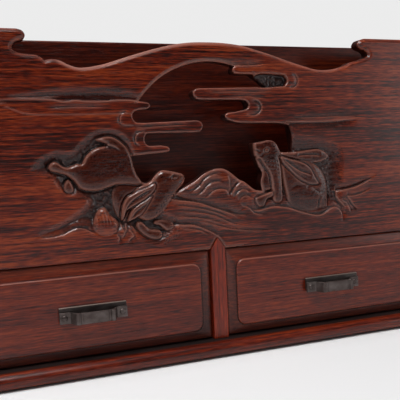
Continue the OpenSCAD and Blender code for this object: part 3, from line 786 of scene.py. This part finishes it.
def flat_back(x, z, edges, first):
    """Triangles that fill the outline of the back, whose points are numbered from first."""
    flat = [Vector(point) for point in zip(x, z)]
    spots, _, triangles, origin, _, _ = geometry.delaunay_2d_cdt(flat, edges, [], 1, 1e-5)
    tri = np.array(triangles)
    centre = np.array([spot[:] for spot in spots])[tri].mean(axis=1)
    faces = []
    for t in tri[wood(centre[:, 0], centre[:, 1])[0] > 0]:
        ids = [origin[i][0] if origin[i] else None for i in t]
        if None not in ids:
            faces.append([first + i for i in ids])
    return faces


def closed_panel():
    """The whole front panel: carved face, walls all round and through the moon, and a flat back.
    Returns the points, the faces, the values for the face's points and how many those are."""
    x, y, z, faces, inward, paint = carved_surface()
    seen = dict.fromkeys((a, b) for f in faces for a, b in zip(f, f[1:] + f[:1]))
    border = [(a, b) for a, b in seen if (b, a) not in seen]
    rim_ids = sorted({a for e in border for a in e})
    slot_of = {v: i for i, v in enumerate(rim_ids)}
    n = len(rim_ids)
    rx, ry, rz = x[rim_ids], y[rim_ids], z[rim_ids]
    nx, nz = inward[rim_ids].T
    rings = [(rx, np.minimum(ry + 0.5, PANEL_BACK_Y - 1), rz),
             (rx, np.full(n, PANEL_BACK_Y - BACK_CHAMFER), rz),
             (rx + BACK_CHAMFER * nx, np.full(n, PANEL_BACK_Y), rz + BACK_CHAMFER * nz)]
    verts = np.concatenate([np.stack(ring, -1) for ring in [(x, y, z)] + rings])
    base = len(x)

    def ring_vertex(level, v):
        return v if level == 0 else base + (level - 1) * n + slot_of[v]

    for level in range(3):
        for a, b in border:
            faces.append([ring_vertex(level, b), ring_vertex(level, a),
                          ring_vertex(level + 1, a), ring_vertex(level + 1, b)])
    edges = [(slot_of[a], slot_of[b]) for a, b in border]
    faces += flat_back(rings[2][0], rings[2][2], edges, base + 2 * n)
    return verts, faces, paint, base


def carved_panel(material):
    """The front panel as a piece, with painted shade on the walls in the moon and under the scrolls."""
    verts, faces, paint, base = closed_panel()
    wall_x, wall_z = verts[base:, 0], verts[base:, 2]
    in_moon = np.hypot(wall_x, wall_z - MOON_Z) < MOON_R + 0.4
    in_scroll = (np.abs(wall_x) > SCROLL_X) & (wall_z > TOP_Z - SCROLL_DROP) & (wall_z < TOP_Z - 1.5)
    # painted shade on these walls
    dark_wall = in_moon | in_scroll
    used = np.zeros(len(verts), bool)
    for f in faces:
        used[f] = True
    renumber = np.cumsum(used) - 1
    faces = [[int(renumber[i]) for i in f] for f in faces]
    paint = {key: np.concatenate([values, dark_wall * WALL_SHADE.get(key, 0.0)])[used]
             for key, values in paint.items()}
    piece = make_object("carved_front_panel", verts[used], faces, material, replaces="front_panel",
                        attributes=paint)
    with edited(piece):
        pass    # opening and closing it turns the faces outwards


# ---- materials ----

class Nodes:
    """The shader nodes of a material or world. An input's source is a socket, a number or a tuple."""

    def __init__(self, owner):
        self.owner = owner
        owner.use_nodes = True
        self.tree = owner.node_tree
        self.tree.nodes.clear()
        self.out = self.add("OutputWorld" if isinstance(owner, bpy.types.World) else "OutputMaterial")

    def feed(self, socket, source):
        """Links an output to a socket, or sets the socket's constant value."""
        if isinstance(source, bpy.types.NodeSocket):
            self.tree.links.new(source, socket)
        elif socket.type == "RGBA":
            socket.default_value = (*source, 1)
        else:
            socket.default_value = source

    def add(self, kind, inputs=None, **settings):
        """Adds a node with its settings and its inputs, which go by name or number."""
        made = self.tree.nodes.new("ShaderNode" + kind)
        for key, value in settings.items():
            setattr(made, key, value)
        for key, source in (inputs or {}).items():
            self.feed(made.inputs[key], source)
        return made

    def maths(self, operation, a, b, clamp=False):
        return self.add("Math", {0: a, 1: b}, operation=operation, use_clamp=clamp).outputs[0]

    def plus(self, a, b):
        return self.maths("ADD", a, b)

    def minus(self, a, b):
        return self.maths("SUBTRACT", a, b)

    def times(self, a, b, clamp=False):
        return self.maths("MULTIPLY", a, b, clamp)

    def mix(self, factor, a, b):
        return self.add("Mix", {0: factor, 6: a, 7: b}, data_type="RGBA").outputs[2]

    def mix_shader(self, factor, a, b):
        return self.add("MixShader", {0: factor, 1: a.outputs[0], 2: b.outputs[0]})

    def ramp(self, source, stops):
        """A colour ramp from (place, colour) stops."""
        made = self.add("ValToRGB", {0: source})
        elements = made.color_ramp.elements
        while len(elements) > 1:
            elements.remove(elements[-1])
        elements[0].position, elements[0].color = stops[0][0], (*stops[0][1], 1)
        for place, colour in stops[1:]:
            elements.new(place).color = (*colour, 1)
        return made.outputs[0]

    def attribute(self, name):
        return self.add("Attribute", attribute_name=name).outputs["Fac"]

    def height_of(self, coordinate):
        """The Z part of a texture coordinate."""
        vector = self.add("TexCoord").outputs[coordinate]
        return self.add("SeparateXYZ", {0: vector}).outputs["Z"]

    def grain(self, axis, along_scale, across_scale, offset, detail, distortion=0.0):
        """Noise drawn out along the grain. Scales are in features per metre."""
        scale = [across_scale] * 3
        scale["XYZ".index(axis)] = along_scale
        place = self.add("Mapping", {0: self.add("TexCoord").outputs["Object"], "Location": offset,
                                     "Scale": scale}).outputs[0]
        return self.add("TexNoise", {"Vector": place, "Scale": 1.0, "Detail": detail,
                                     "Distortion": distortion}).outputs["Fac"]

    def bump(self, height, strength, distance):
        return self.add("Bump", {"Height": height, "Strength": strength, "Distance": distance}).outputs[0]

    def layer(self, look, amount, share, colour, rougher):
        """Lays a colour over a (colour, roughness) pair where amount is above zero."""
        return (self.mix(self.times(amount, share), look[0], colour),
                self.plus(look[1], self.times(amount, rougher)))

    def surface(self, inputs):
        """Makes a principled shader the surface, and returns the material."""
        self.feed(self.out.inputs[0], self.add("BsdfPrincipled", inputs).outputs[0])
        return self.owner


def tinted(shades, tint):
    return [(place, tuple(tint * part for part in shade)) for place, shade in shades]


ROSEWOOD = [(0.36, (0.014, 0.0014, 0.0006)), (0.44, (0.050, 0.0042, 0.0010)),
            (0.52, (0.112, 0.0098, 0.0018)), (0.64, (0.220, 0.0330, 0.0060))]
MIDDLE_TONE = 0.505
# painted shade: rail tops darken towards the case, drawer fronts away from their tops
PAINTED_SHADE_COLOUR = (0.003, 0.0015, 0.0012)
CARVED_WOOD = (0.022, 0.0032, 0.0015)
# the sunk ground's own dark matt tone, also painted shade on ledge slopes and walls
SHADED_SUNK_GROUND = (0.014, 0.0064, 0.0062)
# painted shade in creases
CREASE_SHADE = (0.004, 0.002, 0.002)
# painted highlight on ridges
RIDGE_HIGHLIGHT = (0.22, 0.085, 0.060)
# painted highlight along edges, with some rubbing
RUBBED_HIGHLIGHT = (0.34, 0.150, 0.115)
PALE_WOOD = [(0.3, (0.20, 0.105, 0.05)), (0.5, (0.34, 0.20, 0.105)), (0.72, (0.45, 0.29, 0.16))]
IRON = [(0.35, (0.062, 0.044, 0.040)), (0.55, (0.098, 0.076, 0.070)), (0.75, (0.150, 0.125, 0.118))]
# painted highlight along the top edge of a pull's plate
IRON_TOP_HIGHLIGHT = (0.26, 0.20, 0.17)
FELT = [(0.35, (0.010, 0.010, 0.011)), (0.65, (0.035, 0.034, 0.035))]


def carved_look(n, look, axis, offset):
    """Colour and roughness of the carving: figures, sunk ground with painted shade, painted shade in
    creases and painted highlight on ridges.
    """
    look = n.layer(look, n.attribute("carved"), 0.8, CARVED_WOOD, -0.10)
    # the sunk ground's dark matt tone with painted shade
    sunk_and_shaded = n.attribute("sunk_and_shaded")
    mottle = n.grain(axis, 800, 1100, offset, 2)
    cover = n.times(sunk_and_shaded, n.times(mottle, 1.5), clamp=True)
    look = (n.mix(cover, look[0], SHADED_SUNK_GROUND), n.plus(look[1], n.times(sunk_and_shaded, 0.12)))
    # painted shade in hollows and painted highlight on ridges
    hollow = n.attribute("hollow")
    look = n.layer(look, n.times(hollow, 2.2, clamp=True), 0.42, CREASE_SHADE, 0.0)
    return n.layer(look, n.times(hollow, -3.0, clamp=True), 0.6, RIDGE_HIGHLIGHT, -0.10)


def rosewood(name, axis="X", offset=(0, 0, 0), tint=1.0, contrast=1.0, carved=False, painted_shade=False,
             worn_and_highlit=False):
    """Dark red rosewood with long dark streaks and short open pores along the grain."""
    n = Nodes(bpy.data.materials.new(name))
    bands = n.grain(axis, 5, 130, offset, 3, 0.3)
    streaks = n.grain(axis, 26, 900, offset, 3)
    fibres = n.grain(axis, 150, 1900, offset, 2)
    tone = n.plus(n.times(bands, 0.4), n.times(streaks, 0.6))
    tone = n.plus(tone, n.times(n.minus(fibres, 0.5), 0.55))
    tone = n.plus(n.times(tone, contrast), MIDDLE_TONE * (1 - contrast))
    shades = tinted(ROSEWOOD, tint)
    pores = n.grain(axis, 110, 2600, (offset[0] + 3, offset[1], offset[2]), 1)
    pore = n.times(n.minus(pores, 0.60), 9, clamp=True)
    colour = n.mix(n.times(pore, 0.65), n.ramp(tone, shades), shades[0][1])
    look = (colour, n.plus(n.times(streaks, 0.14), 0.23))
    # painted shade, on the pieces that carry it
    if painted_shade:
        look = n.layer(look, n.attribute("painted_shade"), 0.95, PAINTED_SHADE_COLOUR, 0.3)
    if carved:
        look = carved_look(n, look, axis, offset)
    # painted highlight with some rubbing, along edges
    if carved or worn_and_highlit:
        look = n.layer(look, n.attribute("wear_and_highlight"), 0.55, RUBBED_HIGHLIGHT, -0.08)
    relief = n.minus(n.times(fibres, 0.4), pore)
    return n.surface({"Base Color": look[0], "Roughness": look[1], "IOR": 1.41,
                      "Coat Weight": 0.06, "Coat Roughness": 0.12, "Normal": n.bump(relief, 0.35, 0.00012)})


def plain_wood(name, axis, offset):
    """Pale unvarnished wood of the drawer boxes."""
    n = Nodes(bpy.data.materials.new(name))
    bands = n.grain(axis, 6, 130, offset, 3, 0.5)
    fibres = n.grain(axis, 50, 1500, offset, 2)
    tone = n.plus(n.times(bands, 0.7), n.times(fibres, 0.3))
    return n.surface({"Base Color": n.ramp(tone, PALE_WOOD),
                      "Roughness": n.plus(n.times(fibres, 0.15), 0.5),
                      "Normal": n.bump(fibres, 0.3, 0.0001)})


def dark_iron(name, tint=1.0, highlight_top_z=None):
    """Dark brown patinated iron, paler in patches and, if asked, with a painted highlight along an upper
    edge.
    """
    n = Nodes(bpy.data.materials.new(name))
    patches = n.grain("X", 160, 260, (0, 0, 0), 4)
    grit = n.grain("X", 1500, 2600, (0, 0, 0), 2)
    colour = n.ramp(patches, tinted(IRON, tint))
    # a painted highlight along the upper edge
    if highlight_top_z:
        above = n.minus(n.height_of("Object"), (highlight_top_z - 0.55) * MM)
        colour = n.mix(n.times(above, 2500, clamp=True), colour, IRON_TOP_HIGHLIGHT)
    return n.surface({"Base Color": colour, "Roughness": n.plus(n.times(patches, 0.3), 0.28),
                      "Metallic": 0.7, "Normal": n.bump(grit, 0.4, 0.00008)})


def felt(name):
    """Dark felt of the foot pads."""
    n = Nodes(bpy.data.materials.new(name))
    fluff = n.grain("Z", 1200, 1600, (0, 0, 0), 4)
    return n.surface({"Base Color": n.ramp(fluff, FELT), "Roughness": 0.95,
                      "Normal": n.bump(fluff, 0.6, 0.0002)})


# ---- boards ----

def loft_faces(count, n, start=0, upward=False):
    """Faces over a stack of count rings of n points each, with a cap at both ends."""
    first, last = [[start + j * n + k for k in range(n)] for j in (0, count - 1)]
    (first if upward else last).reverse()
    sides = [[start + j * n + k, start + j * n + (k + 1) % n, start + (j + 1) * n + (k + 1) % n,
              start + (j + 1) * n + k] for j in range(count - 1) for k in range(n)]
    return [first] + sides + [last]


def circle(r, turns):
    angles = [2 * math.pi * k / turns for k in range(turns)]
    return [(r * math.cos(a), r * math.sin(a)) for a in angles]


def shaded(piece, angle=35):
    """Smooth shading that keeps flat faces flat: edges sharper than the angle stay sharp."""
    limit = math.radians(angle)
    with edited(piece) as bm:
        for e in bm.edges:
            e.smooth = len(e.link_faces) == 2 and e.calc_face_angle(0) < limit
    weighted = piece.modifiers.new("normals", "WEIGHTED_NORMAL")
    weighted.keep_sharp = True


def prism(name, outline, axis, low, high, edge, material, **facts):
    """A board: an outline pushed from low to high along an axis, with rounded edges.
    The outline is (y, z) for axis X, (x, z) for axis Y and (x, y) for axis Z."""
    verts = np.insert(np.tile(np.array(outline, float), (2, 1)), "XYZ".index(axis),
                      np.repeat([low, high], len(outline)), axis=1)
    first, *sides, last = loft_faces(2, len(outline))
    piece = make_object(name, verts, [first, last] + sides, material, **facts)
    with edited(piece) as bm:
        sharp = [e for e in bm.edges if e.calc_face_angle(0) > math.radians(28)]
        bmesh.ops.bevel(bm, geom=sharp, offset=edge * MM, offset_type="OFFSET", segments=4,
                        profile=0.5, affect="EDGES", clamp_overlap=True)
    piece.data.polygons.foreach_set("use_smooth", [True] * len(piece.data.polygons))
    shaded(piece)


def rect(low, high):
    return [(low[0], low[1]), (high[0], low[1]), (high[0], high[1]), (low[0], high[1])]


def board(name, node, axis, edge, material, **facts):
    """A plain board in the place of a CAD node, with rounded edges."""
    low, high = node_box(node)
    k = "XYZ".index(axis)
    outline = rect(np.delete(low, k), np.delete(high, k))
    prism(name, outline, axis, low[k], high[k], edge, material, replaces=node, **facts)


SIDE_DIP = 9.0    # depth of the dip in the side boards


def side_board(name, node, offset):
    """A side board with the soft dip in its upper edge."""
    low, high = node_box(node)
    low_y, high_y = node_box("partition_panel")[1][1], node_box("back_panel")[0][1]
    middle, reach = (low_y + high_y) / 2, (high_y - low_y) / 2 - 4
    dip = [(middle + reach * math.cos(a), high[2] - SIDE_DIP * (1 + math.cos(math.pi * math.cos(a))) / 2)
           for a in np.linspace(0, math.pi, 33)]
    outline = [(low[1], low[2]), (high[1], low[2]), (high[1], high[2])] + dip + [(low[1], high[2])]
    prism(name, outline, "X", low[0], high[0], 1.2, rosewood(name, "Z", offset), replaces=node)


RAIL_LOW_R = 2.6     # radius of a base rail's lower outer edge
RAIL_TOP_R = 4.0     # and of its upper one
MITRE_GAP = 0.06


def rail_profile(width, z0, z1):
    """The section of a base rail as (distance in from its outer edge, height)."""
    profile = [(q, z1) for q in (4.7, 5.6, 6.8, 8.2)] + [(width, z1), (width, z0)]
    for a in np.radians(np.linspace(0, 90, 7)):
        profile.append((RAIL_LOW_R * (1 - math.sin(a)), z0 + RAIL_LOW_R * (1 - math.cos(a))))
    for a in np.radians(np.linspace(0, 90, 9)):
        profile.append((RAIL_TOP_R * (1 - math.cos(a)), z1 - RAIL_TOP_R * (1 - math.sin(a))))
    return profile


def rail(name, node, turn, offset):
    """A mitred base rail with a rounded outer edge, drawn along the front and turned into place."""
    low, high = node_box(node)
    along_x = turn in (0, 180)
    half_len = (high[0] - low[0]) / 2 if along_x else (high[1] - low[1]) / 2
    width = (high[1] - low[1]) if along_x else (high[0] - low[0])
    edge = node_box("base_rail_front")[0][1] if along_x else node_box("base_rail_left")[0][0]
    profile = rail_profile(width, low[2], high[2])
    verts = [(sign * (half_len - q - MITRE_GAP), edge + q, z) for sign in (-1, 1) for q, z in profile]
    a = math.radians(turn)
    verts = [(x * math.cos(a) - y * math.sin(a), x * math.sin(a) + y * math.cos(a), z) for x, y, z in verts]
    first, *sides, last = loft_faces(2, len(profile))
    # painted shade: the flat top darkens towards the case, in its shadow
    painted_shade = [float(ease((q - 3.4) / 2.2)) for q, _ in profile] * 2
    wood_of_rail = rosewood(name, "X" if along_x else "Y", offset, 1.05, 0.6, painted_shade=True)
    piece = make_object(name, verts, [first, last] + sides, wood_of_rail, replaces=node,
                        attributes={"painted_shade": painted_shade})
    shaded(piece, 30)


def stile(name, node, offset):
    """A front stile. The middle one is pointed and the corner ones are mitred."""
    low, high = node_box(node)
    if node == "centre_stile":
        outline = [(low[0], low[2]), (high[0], low[2]), (high[0], PANEL_LOW_Z), (0, high[2]),
                   (low[0], PANEL_LOW_Z)]
    else:
        sign = np.sign(low[0] + high[0])
        inner, outer = sign * INNER_X, sign * HALF_W
        outline = [(inner, low[2]), (outer, low[2]), (outer, high[2]), (inner, PANEL_LOW_Z)]
    prism(name, outline, "Y", low[1], high[1], 0.45, rosewood(name, "Z", offset, 1.9, 0.45), replaces=node)


# ---- drawers and pulls ----

def rounded_rect(x0, x1, z0, z1, r, steps=6):
    """Points round a rectangle with round corners."""
    points = []
    for turn, (cx, cz) in enumerate(rect((x1 - r, z1 - r), (x0 + r, z0 + r))):
        for a in np.radians(np.linspace(90 * turn, 90 * turn + 90, steps + 1)):
            points.append((cx + r * math.cos(a), cz + r * math.sin(a)))
    return points


BORDER_BACK = 2.0     # the border of a drawer front lies this far behind its raised field
FOOT_BACK = 0.9       # and the foot of the field's step this far
BORDER_R = 1.2        # radius of the front's outer edge


def front_rings(low, high):
    """The rings of a drawer front from its back to its raised field, in two groups with the
    rectangle each starts from. A ring is inset, y, corner radius, painted shade away from the top
    and painted highlight along the top."""
    field_y = low[1]
    border_y, foot_y = field_y + BORDER_BACK, field_y + FOOT_BACK
    border = [(0.4, high[1], 0.5, 0, 0), (0, high[1] - 0.4, 0.5, 0, 0),
              (0, border_y + BORDER_R, 0.5, 0.6, 0)]
    for a in (20, 40, 60, 76):
        s, c = math.sin(math.radians(a)), math.cos(math.radians(a))
        border.append((BORDER_R - BORDER_R * c, border_y + BORDER_R - BORDER_R * s, 0.6, 0.5, 0.3))
    field = [(-0.7, foot_y - 0.08, 5.5, 0.6, 0), (-0.12, foot_y + 0.12, 5.1, 1, 0), (0, foot_y, 5, 0.8, 0),
             (0.05, field_y + 0.62, 5, 0, 0.5), (0.22, field_y + 0.36, 4.8, 0, 1),
             (0.5, field_y + 0.12, 4.6, 0, 1), (0.9, field_y, 4.3, 0, 0), (3.0, field_y, 3.0, 0, 0)]
    outside = (low[0], high[0], low[2], high[2])
    field_box = (low[0] + 5.8, high[0] - 5.8, low[2] + 5.0, high[2] - 6.5)
    return (border, outside), (field, field_box)


def drawer_front(name, node, body, offset):
    """A drawer front with a raised field: rounded outer edge, sloping border, step and flat field."""
    verts, painted_shade, wear_and_highlight, count = [], [], [], 0
    for rings, (x0, x1, z0, z1) in front_rings(*node_box(node)):
        for inset, y, r, shade_share, worn_and_highlit in rings:
            ring = rounded_rect(x0 + inset, x1 - inset, z0 + inset, z1 - inset, r)
            for x, z in ring:
                # painted shade fading out towards the top, and a painted highlight strongest along the top
                at_top = ease((z - z1 + 4) / 3)
                verts.append((x, y, z))
                painted_shade.append(shade_share * (1 - 0.8 * at_top))
                wear_and_highlight.append(worn_and_highlit * (0.15 + 0.85 * at_top))
            count += 1
    faces = loft_faces(count, len(ring))
    wood_here = rosewood(name, "X", offset, 1.05, 0.62, painted_shade=True, worn_and_highlit=True)
    piece = make_object(name, verts, faces, wood_here, body=body, replaces=node,
                        attributes={"painted_shade": painted_shade, "wear_and_highlight": wear_and_highlight})
    shaded(piece, 40)


def drawer_box(side, body):
    """The sides, back and bottom of one drawer."""
    for part, axis in (("inner_side", "Y"), ("outer_side", "Y"), ("back", "X"), ("bottom", "X")):
        node = side + "_drawer_" + part
        offset = (len(part) * 1.3, 2.0 if side == "left" else 5.0, 0.7 * len(part))
        board(side + "_box_" + part, node, axis, 0.5, plain_wood(node + "_wood", axis, offset),
              body=body, slot="drawer_wood")


STRAP = 1.4          # thickness of a pull's strap
STRAP_OUT = 6.8      # how far its inside bend stands off the plate
KNEE_X = 9.3         # half the width between the outer sides of its knees
RIB = 1.3            # width of the rib on each knee
RIB_RISE = 0.6
FOOT = 5.0           # length of the foot that is riveted at each end


def strap_outline(end):
    """A bent strap seen from above as (x, distance out of the plate), end being its half length."""
    root = end - FOOT
    top = STRAP_OUT + RIB_RISE
    half = [(end, 0), (end, STRAP), (root, STRAP), (root - 0.6, STRAP + 0.3), (KNEE_X + 0.8, STRAP_OUT),
            (KNEE_X + 0.1, top), (KNEE_X - RIB, top), (KNEE_X - RIB - 0.4, STRAP_OUT - 0.4),
            (KNEE_X - RIB - 1.3, STRAP_OUT - 0.4), (KNEE_X - RIB - 1.7, STRAP_OUT), (0, STRAP_OUT)]
    inner = [(0, STRAP_OUT - STRAP), (KNEE_X - 1.0, STRAP_OUT - STRAP), (root + 0.1, 0)]
    return half + [(-x, y) for x, y in half[-2::-1]] + [(-x, y) for x, y in inner[:0:-1]] + inner


def rivets(side, body, iron, middle, end, face_y):
    """The two rivets of a pull, with low round heads on the strap's feet."""
    low, high = node_box(side + "_pull_rivets")
    centre_z = (low[2] + high[2]) / 2
    head_y = face_y - STRAP
    rings = [(1.0, high[1]), (1.0, head_y + 0.05), (1.6, head_y + 0.05), (1.6, head_y - 0.15),
             (1.4, head_y - 0.45), (1.0, head_y - 0.65), (0.5, head_y - 0.78)]
    turns = 24
    verts, faces = [], []
    for sign in (-1, 1):
        centre_x = middle + sign * (end - FOOT / 2)
        faces += loft_faces(len(rings), turns, len(verts))
        verts += [(centre_x + u, y, centre_z + v) for r, y in rings for u, v in circle(r, turns)]
    piece = make_object(side + "_rivets", verts, faces, iron, body=body, slot="dark_iron",
                        replaces=side + "_pull_rivets")
    shaded(piece, 50)


def pull(side, body, iron):
    """A drop strap pull: back plate, bent strap with ribbed knees, and two rivets."""
    plate_low, plate_high = node_box(side + "_pull_plate")
    # the plate's half tint is painted shade from the strap, and its top edge gets a painted highlight
    plate_iron = dark_iron(side + "_plate_iron", 0.5, plate_high[2])
    board(side + "_plate", side + "_pull_plate", "Y", 0.35, plate_iron, body=body, slot="dark_iron")
    low, high = node_box(side + "_pull_bow")
    middle, end = (low[0] + high[0]) / 2, (high[0] - low[0]) / 2
    outline = [(middle + x, plate_low[1] - y) for x, y in dict.fromkeys(strap_outline(end))]
    prism(side + "_strap", outline, "Z", low[2], high[2], 0.28, iron, body=body, slot="dark_iron",
          replaces=side + "_pull_bow")
    rivets(side, body, iron, middle, end, plate_low[1])


# ---- pads and stop blocks ----

def foot_pads(material):
    """Four round felt pads with soft edges."""
    high = node_box("foot_pads")[1]
    r, turns = 8.0, 48
    rings = [(r - 0.4, 0), (r - 0.1, 0.15), (r, 0.4), (r, high[2])]
    verts, faces = [], []
    for sx in (-1, 1):
        for sy in (-1, 1):
            cx, cy = sx * (high[0] - r), sy * (high[1] - r)
            faces += loft_faces(len(rings), turns, len(verts), upward=True)
            verts += [(cx + u, cy + v, z) for radius, z in rings for u, v in circle(radius, turns)]
    piece = make_object("felt_pads", verts, faces, material, replaces="foot_pads", slot="felt")
    shaded(piece, 60)


def stop_blocks(material):
    """The four glue blocks behind the drawers."""
    low, high = node_box("drawer_stops")
    front_low, front_high = node_box("right_drawer_front")
    middle_y = (low[1] + high[1]) / 2
    rings = [(0.4, low[2]), (0, low[2] + 0.4), (0, high[2] - 0.8), (0.8, high[2])]
    verts, faces = [], []
    for side in (-1, 1):
        for cx in (side * (front_low[0] + 14), side * (front_high[0] - 14)):
            faces += loft_faces(len(rings), 4, len(verts), upward=True)
            verts += [(x + inset * np.sign(cx - x), y + inset * np.sign(middle_y - y), z)
                      for inset, z in rings for x, y in rect((cx - 6, low[1]), (cx + 6, high[1]))]
    piece = make_object("stop_blocks", verts, faces, material, replaces="drawer_stops", slot="drawer_wood")
    shaded(piece, 20)


def build():
    """Every piece of the holder. An offset moves the wood's figure, so that no two boards match."""
    carved_panel(rosewood("rosewood_carved", "X", (0.3, 0.1, 0.2), carved=True))
    dark = dict(slot="dark_rosewood")
    # tint 0.6 is painted shade: the slot behind the moon lies in shade
    partition_wood = rosewood("partition_wood", "X", (4, 1, 2), 0.6, 0.65)
    board("slot_partition", "partition_panel", "X", 1.2, partition_wood, **dark)
    board("case_back", "back_panel", "X", 1.6, rosewood("back_wood", "X", (7, 3, 1)))
    board("well_bottom", "well_floor", "X", 0.3, rosewood("well_wood", "X", (2, 6, 3), 0.8), **dark)
    board("base_board", "base_panel", "X", 0.3, rosewood("base_wood", "X", (1, 8, 3), 0.8), **dark)
    board("stile_web", "drawer_partition", "Y", 0.3, rosewood("web_wood", "Y", (1, 8, 3), 0.8), **dark)
    for side, shift in (("left", 2.5), ("right", 8.5)):
        body = side + "_drawer"
        divider_wood = rosewood(side + "_divider_wood", "Z", (shift, 1, 4), 0.9)
        board(side + "_divider", "cell_divider_" + side, "Z", 1.5, divider_wood, **dark)
        side_board(side + "_case_side", side + "_side", (shift, 2, 6))
        stile(side + "_front_stile", side + "_stile", (shift, 4, 1))
        drawer_front(side + "_drawer_face", side + "_drawer_front", body, (shift, 5, 3))
        drawer_box(side, body)
        pull(side, body, dark_iron(side + "_iron"))
    stile("middle_stile", "centre_stile", (5, 4, 7))
    for turn, end in ((0, "front"), (90, "right"), (180, "back"), (270, "left")):
        rail(end + "_rail", "base_rail_" + end, turn, (turn / 30, 2, 5))
    foot_pads(felt("felt_grey"))
    stop_blocks(plain_wood("stop_wood", "X", (3, 3, 3)))


build()


# ---- floor and light ----

BACKDROP = (0.835, 0.835, 0.835)
FLOOR = (0.78, 0.78, 0.785)
FLOOR_HALF_M = 6.0
FADE_FROM_M = 0.5     # the floor fades into the backdrop over one metre from here
SKY = [(place, (grey,) * 3) for place, grey in ((0.0, 0.01), (0.3, 0.02), (0.75, 0.15), (1.0, 0.3))]


def make_stage():
    """A white floor that fades into the plain backdrop far from the object, as a studio sweep does."""
    mesh = bpy.data.meshes.new("floor")
    corners = rect((-FLOOR_HALF_M, -FLOOR_HALF_M), (FLOOR_HALF_M, FLOOR_HALF_M))
    mesh.from_pydata([(x, y, 0) for x, y in corners], [], [(0, 1, 2, 3)])
    floor = bpy.data.objects.new("floor", mesh)
    bpy.context.scene.collection.objects.link(floor)
    n = Nodes(bpy.data.materials.new("floor_white"))
    distance = n.add("VectorMath", {0: n.add("TexCoord").outputs["Object"]}, operation="LENGTH")
    far = n.times(n.minus(distance.outputs["Value"], FADE_FROM_M), 1.0, clamp=True)
    seen = n.times(far, n.add("LightPath").outputs["Is Camera Ray"])
    white = n.add("BsdfPrincipled", {"Base Color": FLOOR, "Roughness": 0.9})
    plain = n.add("Emission", {"Color": BACKDROP, "Strength": 1.0})
    n.feed(n.out.inputs["Surface"], n.mix_shader(seen, white, plain).outputs[0])
    mesh.materials.append(n.owner)


def area_light(name, at, aim, size, power, size_y=None):
    """A lamp at a place in metres, turned to the aim."""
    data = bpy.data.lights.new(name, "AREA")
    data.energy = power
    data.size = size
    if size_y:
        data.shape = "RECTANGLE"
        data.size_y = size_y
    light = bpy.data.objects.new(name, data)
    light.location = at
    light.rotation_euler = (Vector(aim) - Vector(at)).to_track_quat("-Z", "Y").to_euler()
    bpy.context.scene.collection.objects.link(light)


def make_world():
    """A plain light backdrop for the camera, and a dim sky, brighter overhead, for the light."""
    world = bpy.data.worlds.new("studio")
    n = Nodes(world)
    backdrop = n.add("Background", {"Color": BACKDROP, "Strength": 1.0})
    sky = n.ramp(n.height_of("Generated"), SKY)
    ambient = n.add("Background", {"Color": sky, "Strength": 1.0})
    seen = n.add("LightPath").outputs["Is Camera Ray"]
    n.feed(n.out.inputs[0], n.mix_shader(seen, ambient, backdrop).outputs[0])
    bpy.context.scene.world = world


make_stage()
make_world()
area_light("overhead", (-0.45, -0.15, 1.2), (0, 0, 0.05), 0.5, 10.2, size_y=0.3)
area_light("high_front", (-0.3, -0.75, 1.45), (0, 0, 0.08), 0.5, 11, size_y=0.3)
area_light("key_left", (-1.3, -1.1, 0.9), (0, 0, 0.08), 0.9, 1.1)
area_light("card_right", (1.6, -1.3, 0.3), (0, 0, 0.1), 0.9, 6.5)
bpy.context.scene.view_settings.view_transform = "Standard"
